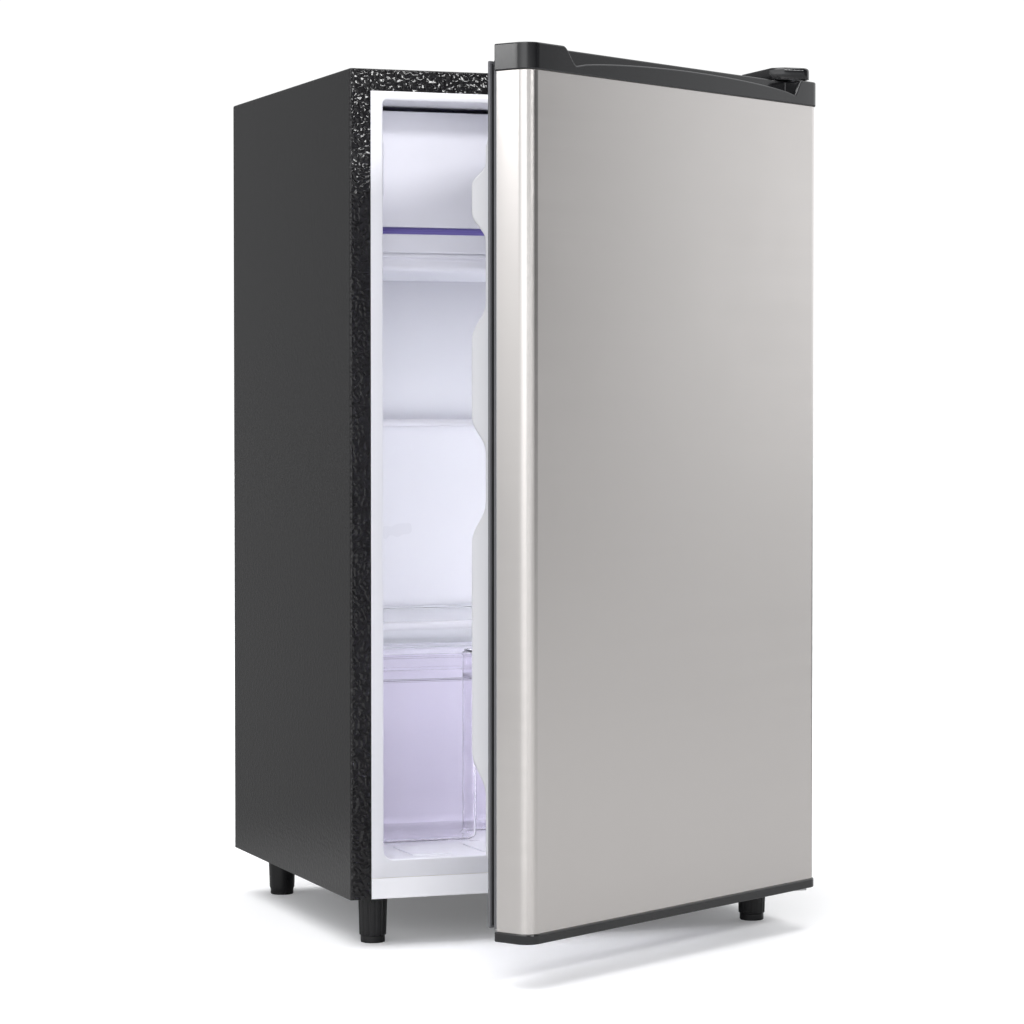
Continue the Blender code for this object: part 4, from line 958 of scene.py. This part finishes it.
def doorGasket():
    low, high = doorBox("door_gasket")
    base, head, width = low.y, high.y, gasket["width"]

    def both(points):
        # a half section and its mirror image across the strip's middle
        return points + [(width - inset, y) for inset, y in reversed(points)]

    def seal(name, section, material, **more):
        finished(name, ringOf(section, low, high), material, "door", slot="rubber_seal",
                 pose=doorPose, **more)
    strip, stripBack = head - gasket["strip"], head - gasket["stripBack"]
    section = [(0.0, strip), (gasket["stripRound"], head), (width - gasket["stripRound"], head),
               (width, strip), (width - gasket["stripIn"], stripBack), (gasket["stripIn"], stripBack)]
    seal("gasketMagnetStrip", section, gasketGrey, replaces=["door_gasket"], edge=gasket["stripSoft"])
    # the bellows are coloured black as painted shade for the shadow in the gasket's recess
    seal("gasketBellows", both([(gasket["foldIn"], stripBack),
                                (gasket["foldWaist"], head - gasket["fold"]),
                                (gasket["foldIn"], head - gasket["foldEnd"])]), paintedShadeBlack)
    seal("gasketFoot", both([(0.0, base), (0.0, base + gasket["foot"]),
                             (gasket["footIn"], base + gasket["footTop"])]), gasketGrey,
         edge=gasket["footSoft"])


# where each bulge of the side ribs starts, is full, falls and ends, as shares of the skin's height
bulges = ((0.149, 0.200, 0.451, 0.499), (0.558, 0.599, 0.693, 0.735), (0.808, 0.842, 0.876, 0.900))
# ends are (distance in from a rib's end, distance back from its edge)
rib = {"inset": 0.044, "width": 0.016, "depth": 0.048, "bulge": 0.064, "soft": 0.0035, "side": 0.0425,
       "ends": ((0.003, 0.012), (0.007, 0.004), (0.016, 0)), "backing": 0.0015, "sunk": 0.0007, "bar": 0.012,
       "barBack": 0.016, "barSide": 0.008, "steps": 8}


def doorLiner():
    low, high = doorBox("door_liner")
    tall = skinHigh.z - skinLow.z
    bottom, top = skinLow.z + rib["inset"], skinHigh.z - rib["inset"]
    back = low.y + rib["backing"]
    base, deep = skinHigh.y + rib["depth"], skinHigh.y + rib["bulge"]
    sunk, steps = back - rib["sunk"], rib["steps"]
    side = [(sunk, bottom)] + [(base - inset, bottom + up) for up, inset in rib["ends"]]
    for start, full, fall, end in bulges:
        for a, b, way in ((start, full, 1), (fall, end, -1)):
            for n in range(steps + 1):
                rise = ease(n / steps) if way > 0 else 1 - ease(n / steps)
                side.append((base + (deep - base) * rise, skinLow.z + tall * (a + (b - a) * n / steps)))
    side += [(base - inset, top - down) for down, inset in reversed(rib["ends"])] + [(sunk, top)]
    bm = box(low, (high.x, back, high.z))
    left, right = skinLow.x + rib["side"], skinHigh.x - rib["side"]
    for x in (left, right - rib["width"]):
        part = outline(side, "X", x, x + rib["width"])
        bevel(part, lambda a, b: abs(a.x - b.x) < speck and min(a.y, b.y) > back + tiny, rib["soft"], 4)
        merged(bm, part)
    edge = base - rib["barBack"]
    for z in (bottom, top - rib["bar"]):
        part = box((left + rib["barSide"], sunk, z), (right - rib["barSide"], edge, z + rib["bar"]))
        bevel(part, lambda a, b: min(a.y, b.y) > edge - 0.001 and abs(a.x - b.x) > 0.1, rib["soft"], 4)
        merged(bm, part)
    finished("doorLiner", bm, doorWhite, "door", ["door_liner"], "white_liner", doorPose, sharp=40)


rack = {"corner": 0.010, "foot": 0.003, "bandLow": 0.008, "bandHigh": 0.0045, "band": 0.0004, "wall": 0.002}


def doorRack(level):
    low, high = doorBox(f"door_rack_{level}")
    bm = box(low, high)
    bevel(bm, lambda a, b: abs(a.z - b.z) > 0.01 and a.y > high.y - tiny, rack["corner"], 6)
    bevel(bm, lambda a, b: max(a.z, b.z) < low.z + speck, rack["foot"], 3)
    drop(bm, lambda middle: middle.z > high.z - tiny)
    raised(bm, high.z - rack["bandLow"], high.z - rack["bandHigh"], rack["band"], rack["band"])
    finished(f"doorRack{level.title()}", bm, flapWhite, f"rack_{level}", [f"door_rack_{level}"],
             "frosted_white", doorPose, wall=rack["wall"])


doorSkin()
doorTopCap()
doorBottomCap()
doorGasket()
doorLiner()
for level in ("top", "middle", "bottom"):
    doorRack(level)
print("door ready")


# Hinges and feet

cover = {"chamfer": 0.011, "corner": 0.010, "top": 0.0030, "wall": 0.0015}


def hingeCover():
    low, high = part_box("top_hinge_cover")
    bm = box(low, high)

    def frontCorner(a, b, x):
        return abs(a.z - b.z) > 0.005 and a.y < low.y + tiny and abs(a.x - x) < tiny
    bevel(bm, lambda a, b: frontCorner(a, b, low.x), cover["chamfer"], 1)
    bevel(bm, lambda a, b: frontCorner(a, b, high.x), cover["corner"], 6)
    drop(bm, lambda middle: middle.z < low.z + tiny)
    bevel(bm, lambda a, b: min(a.z, b.z) > high.z - tiny, cover["top"], 3)
    finished("topHingeCover", bm, glossBlack, "cabinet", ["top_hinge_cover"], "black_plastic",
             wall=cover["wall"])


leg = {"flutes": 14, "flute": 0.0007, "fluteInset": 0.0005, "skirt": 0.90, "neck": 0.97, "collar": 0.0045,
       "washer": 0.0012, "washerShare": 0.86, "soft": 0.0003, "foot": 0.007, "footSides": 12,
       "footSoft": 0.0008}


def cone(sides, low, high, middle, foot, head):
    # a closed cone between two heights, from one radius to another
    bm = bmesh.new()
    made = bmesh.ops.create_cone(bm, cap_ends=True, segments=sides, radius1=foot, radius2=head,
                                 depth=high - low)
    bmesh.ops.translate(bm, vec=(middle.x, middle.y, (low + high) / 2), verts=made["verts"])
    return bm


def frontLeg(side):
    low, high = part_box(f"front_{side}_leg")
    middle = (low + high) / 2
    radius = (high.x - low.x) / 2
    collarLow = high.z - leg["collar"]
    bm = cone(leg["flutes"] * 2, low.z, collarLow, middle, radius * leg["skirt"], radius * leg["neck"])
    around = [face for face in bm.faces if abs(face.normal.z) < 0.5]
    around.sort(key=lambda face: math.atan2(face.calc_center_median().y - middle.y,
                                            face.calc_center_median().x - middle.x))
    bmesh.ops.inset_individual(bm, faces=around[::2], thickness=leg["fluteInset"], depth=-leg["flute"])
    rise, inner = leg["collar"] - leg["washer"], radius * leg["washerShare"]
    collar = [(0, 0), (radius, 0), (radius, rise), (inner, rise), (inner, leg["collar"]), (0, leg["collar"])]
    spun(collar, (middle.x, middle.y, collarLow), "Z", 40, bm)
    finished(f"front{side.title()}Leg", bm, matBlack, "cabinet", [f"front_{side}_leg"], "black_plastic",
             edge=leg["soft"])
    low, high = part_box(f"front_{side}_foot")
    reach = (high.x - low.x) / 2
    bm = cone(leg["footSides"], 0, leg["foot"], middle, reach, reach)
    finished(f"front{side.title()}Foot", bm, matBlack, f"front_{side}_foot", [f"front_{side}_foot"],
             "black_plastic", edge=leg["footSoft"])


# a half section as (share of the radius, height)
rearPad = {"section": ((0, 0), (0.80, 0), (0.83, 0.0008), (0.83, 0.005), (0.90, 0.008)), "soft": 0.0004}


def rearFoot(side):
    low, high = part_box(f"rear_{side}_foot")
    middle, radius = (low + high) / 2, (high.x - low.x) / 2
    profile = [(radius * share, z) for share, z in rearPad["section"]] + [(radius, high.z), (0, high.z)]
    bm = spun(profile, (middle.x, middle.y, 0), "Z", 40)
    finished(f"rear{side.title()}Foot", bm, matBlack, "cabinet", [f"rear_{side}_foot"], "black_plastic",
             edge=rearPad["soft"])


hingeCover()
for side in ("left", "right"):
    frontLeg(side)
    rearFoot(side)
print("hinges and feet ready")


# Compressor

pot = {"half": 0.074, "wall": 0.97, "foot": ((0.86, 0), (0.94, 0.004), (0.97, 0.012)), "seam": 0.058,
       "seamHalf": 0.0028, "seamSlope": 0.004, "dome": 0.014, "plateLow": 0.0004, "plateHigh": 0.0026,
       "plateHalf": 0.044, "plateCorner": 0.009, "soft": 0.0004, "coverCorner": 0.004}


def compressorPot():
    low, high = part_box("compressor")
    middle = (low + high) / 2
    halfX, halfY = pot["half"], (high.y - low.y) / 2
    tall, seam, wall, dome = high.z - low.z, pot["seam"], pot["wall"], pot["seam"] + pot["dome"]
    shape = [(0, 0), *pot["foot"], (wall, seam - pot["seamSlope"]), (1.0, seam - pot["seamHalf"]),
             (1.0, seam + pot["seamHalf"]), (wall, seam + pot["seamSlope"])]
    shape += [(wall * c, dome + (tall - dome) * s) for c, s in arc((0, 0), 1, 0, 90, 10)[:-1]]
    shape.append((0, tall))
    bm = spun([(share * halfX, z) for share, z in shape], (0, 0, 0), "Z", 64)
    bmesh.ops.scale(bm, vec=(1, halfY / halfX, 1), verts=bm.verts)
    bmesh.ops.translate(bm, vec=(middle.x, middle.y, low.z), verts=bm.verts)
    base = box((low.x, middle.y - pot["plateHalf"], low.z + pot["plateLow"]),
               (high.x, middle.y + pot["plateHalf"], low.z + pot["plateHigh"]))
    bevel(base, lambda a, b: abs(a.z - b.z) > close, pot["plateCorner"], 5)
    merged(bm, base)
    finished("compressorPot", bm, potPaint, "cabinet", ["compressor"], "compressor_paint", edge=pot["soft"])
    low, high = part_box("compressor_terminal_cover")
    bm = box(low, high)
    bevel(bm, lambda a, b: min(a.x, b.x) < low.x + tiny, pot["coverCorner"], 4)
    finished("compressorTerminalCover", bm, matBlack, "cabinet", ["compressor_terminal_cover"],
             "black_plastic")


compressorPot()

carriedOver = {zincSheet: ["base_plate", "compressor_bulkhead", "compressor_tray"],
               softRubber: [f"compressor_grommet_{n}" for n in range(1, 5)],
               copperTube: ["discharge_pipe", "suction_pipe", "capillary_tube", "filter_drier",
                            "condenser_tube_left", "condenser_tube_right"],
               trimWhite: ["freezer_hinge_top", "freezer_hinge_bottom"],
               platedSteel: ["top_hinge_bracket", "top_hinge_pin", "bottom_hinge_bracket", "bottom_hinge_pin",
                             "bottom_hinge_screw_1", "bottom_hinge_screw_2"],
               matBlack: ["cord_gland"], bushNylon: ["door_top_bush", "door_bottom_bush"],
               paleFoam: ["door_foam"]}
for material, names in carriedOver.items():
    for name in names:
        nodes[name].material_slots[0].material = material
print("carried-over parts finished")


# Studio

def areaLight(name, place, aim, size, power):
    lamp = bpy.data.lights.new(name, "AREA")
    lamp.shape = "RECTANGLE"
    lamp.size, lamp.size_y = size
    lamp.energy = power
    obj = bpy.data.objects.new(name, lamp)
    obj.location = place
    obj.rotation_euler = (Vector(aim) - Vector(place)).to_track_quat("-Z", "Y").to_euler()
    obj.visible_camera = False
    obj.visible_glossy = name not in diffuseOnly
    bpy.context.scene.collection.objects.link(obj)


# bearings are degrees from the front, turning to the right
flags = ({"bearing": 64, "inner": 17, "outer": 24, "level": 0.20},
         {"bearing": 50, "inner": 10, "outer": 42, "level": 0.50},
         {"bearing": -28, "inner": 18, "outer": 50, "level": 1.9},
         {"bearing": 16, "inner": 36, "outer": 44, "level": 0.05, "above": 4},
         {"bearing": 200, "inner": 26, "outer": 60, "level": 0.24})
lights = {"capBox": {"place": (-2.144, -0.096, 1.054), "aim": (-0.17, -0.33, 0.83),
                     "size": (0.28, 0.09), "power": 0.45},
          "sparkBox": {"place": (1.15, -3.2, 2.2), "aim": (0, -0.07, 0.8),
                       "size": (1.3, 0.45), "power": 60},
          "frontFill": {"place": (-0.9, -3.4, 1.0), "aim": (-0.1, -0.07, 0.45),
                        "size": (1.4, 1.6), "power": 44},
          "cavityStrip": {"place": (0.188, -0.030, 0.34), "aim": (-0.12, 0.20, 0.34),
                          "size": (0.02, 0.50), "power": 1.35},
          "trayGlow": {"place": (0, 0.11, 0.664), "aim": (0, 0.1101, 0.70), "size": (0.34, 0.18),
                       "power": 0.16}}
diffuseOnly = ("frontFill", "cavityStrip", "trayGlow")
sky = {"energy": 2.2, "angle": 60, "from": (-0.12, 0.10, 1), "color": (0.98, 0.99, 1.0, 1), "seen": 1.05}
# the floor's shade in reflections falls off between two distances behind the front
floorLook = {"roughness": 0.7, "start": 0.1, "end": 0.9, "shades": (0.36, 0.14),
             "color": (0.92, 0.92, 0.93, 1), "paintedBounce": 0.13}


def paleFloor():
    bm = bmesh.new()
    bmesh.ops.create_grid(bm, x_segments=1, y_segments=1, size=30)
    mesh = bpy.data.meshes.new("paleFloor")
    bm.to_mesh(mesh)
    bm.free()
    floor = bpy.data.objects.new("paleFloor", mesh)
    bpy.context.scene.collection.objects.link(floor)
    material, tree, shader, vector = newMaterial("paleFloor")
    shader.inputs["Roughness"].default_value = floorLook["roughness"]
    seen = addNode(tree, "LightPath")
    shade = addNode(tree, "Mix", data_type="RGBA")
    # what the pieces see of it, darker behind them
    split = addNode(tree, "SeparateXYZ")
    tree.links.new(vector, split.inputs[0])
    fall = rangeNode(tree, split.outputs["Y"], floorLook["start"], floorLook["end"], floorLook["shades"])
    tree.links.new(fall, shade.inputs["A"])
    shade.inputs["B"].default_value = floorLook["color"]
    tree.links.new(seen.outputs["Is Camera Ray"], shade.inputs["Factor"])
    tree.links.new(shade.outputs["Result"], shader.inputs["Base Color"])
    # painted light: the floor glows for the camera alone, standing in for light that other things in the room
    # would throw back into the shadows
    shader.inputs["Emission Color"].default_value = floorLook["color"]
    tree.links.new(mathNode(tree, "MULTIPLY", seen.outputs["Is Camera Ray"], floorLook["paintedBounce"]),
                   shader.inputs["Emission Strength"])
    mesh.materials.append(material)


def skyLight():
    sun = bpy.data.lights.new("sky", "SUN")
    sun.energy = sky["energy"]
    sun.angle = math.radians(sky["angle"])
    obj = bpy.data.objects.new("sky", sun)
    obj.rotation_euler = Vector(sky["from"]).to_track_quat("Z", "Y").to_euler()
    bpy.context.scene.collection.objects.link(obj)


def surroundings():
    world = bpy.data.worlds.new("studio")
    bpy.context.scene.world = world
    world.use_nodes = True
    tree = world.node_tree
    coords = addNode(tree, "TexCoord")
    parts = addNode(tree, "SeparateXYZ")
    tree.links.new(coords.outputs["Generated"], parts.inputs[0])
    level = addNode(tree, "VectorMath", operation="MULTIPLY")
    level.inputs[1].default_value = (1, 1, 0)
    flat = addNode(tree, "VectorMath", operation="NORMALIZE")
    tree.links.new(coords.outputs["Generated"], level.inputs[0])
    tree.links.new(level.outputs[0], flat.inputs[0])
    strength = 1.0
    for flag in flags:  # dark flags and a bright band round the set, each with soft edges
        dot = addNode(tree, "VectorMath", operation="DOT_PRODUCT")
        angle = math.radians(flag["bearing"])
        dot.inputs[1].default_value = (math.sin(angle), -math.cos(angle), 0)
        tree.links.new(flat.outputs[0], dot.inputs[0])
        edges = [math.cos(math.radians(flag[end])) for end in ("outer", "inner")]
        mask = rangeNode(tree, dot.outputs["Value"], *edges)
        if "above" in flag:
            rise = [math.sin(math.radians(flag["above"] + more)) for more in (0, 2)]
            mask = mathNode(tree, "MULTIPLY", mask, rangeNode(tree, parts.outputs["Z"], *rise))
        strength = mathNode(tree, "MULTIPLY", rangeNode(tree, mask, 0, 1, (1.0, flag["level"])), strength)
    lit = tree.nodes["Background"]
    lit.inputs["Color"].default_value = sky["color"]
    tree.links.new(strength, lit.inputs["Strength"])
    white = addNode(tree, "Background")
    white.inputs["Color"].default_value = (1, 1, 1, 1)
    white.inputs["Strength"].default_value = sky["seen"]
    seen = addNode(tree, "LightPath")
    mix = addNode(tree, "MixShader")
    tree.links.new(seen.outputs["Is Camera Ray"], mix.inputs[0])
    tree.links.new(lit.outputs[0], mix.inputs[1])
    tree.links.new(white.outputs[0], mix.inputs[2])
    tree.links.new(mix.outputs[0], tree.nodes["World Output"].inputs["Surface"])
    bpy.context.scene.view_settings.view_transform = "Standard"


camera = {"place": (-1.1625, -3.0140, 0.5076), "yaw": 20.343, "pitch": -1.734, "lens": 115.06}


def addCamera():
    data = bpy.data.cameras.new("camera")
    data.lens = camera["lens"]
    data.sensor_width = 36
    obj = bpy.data.objects.new("camera", data)
    obj.location = camera["place"]
    obj.rotation_euler = (math.radians(90 + camera["pitch"]), 0, math.radians(-camera["yaw"]))
    bpy.context.scene.collection.objects.link(obj)
    bpy.context.scene.camera = obj


paleFloor()
for name, light in lights.items():
    areaLight(name, **light)
skyLight()
surroundings()
addCamera()
print("studio ready")
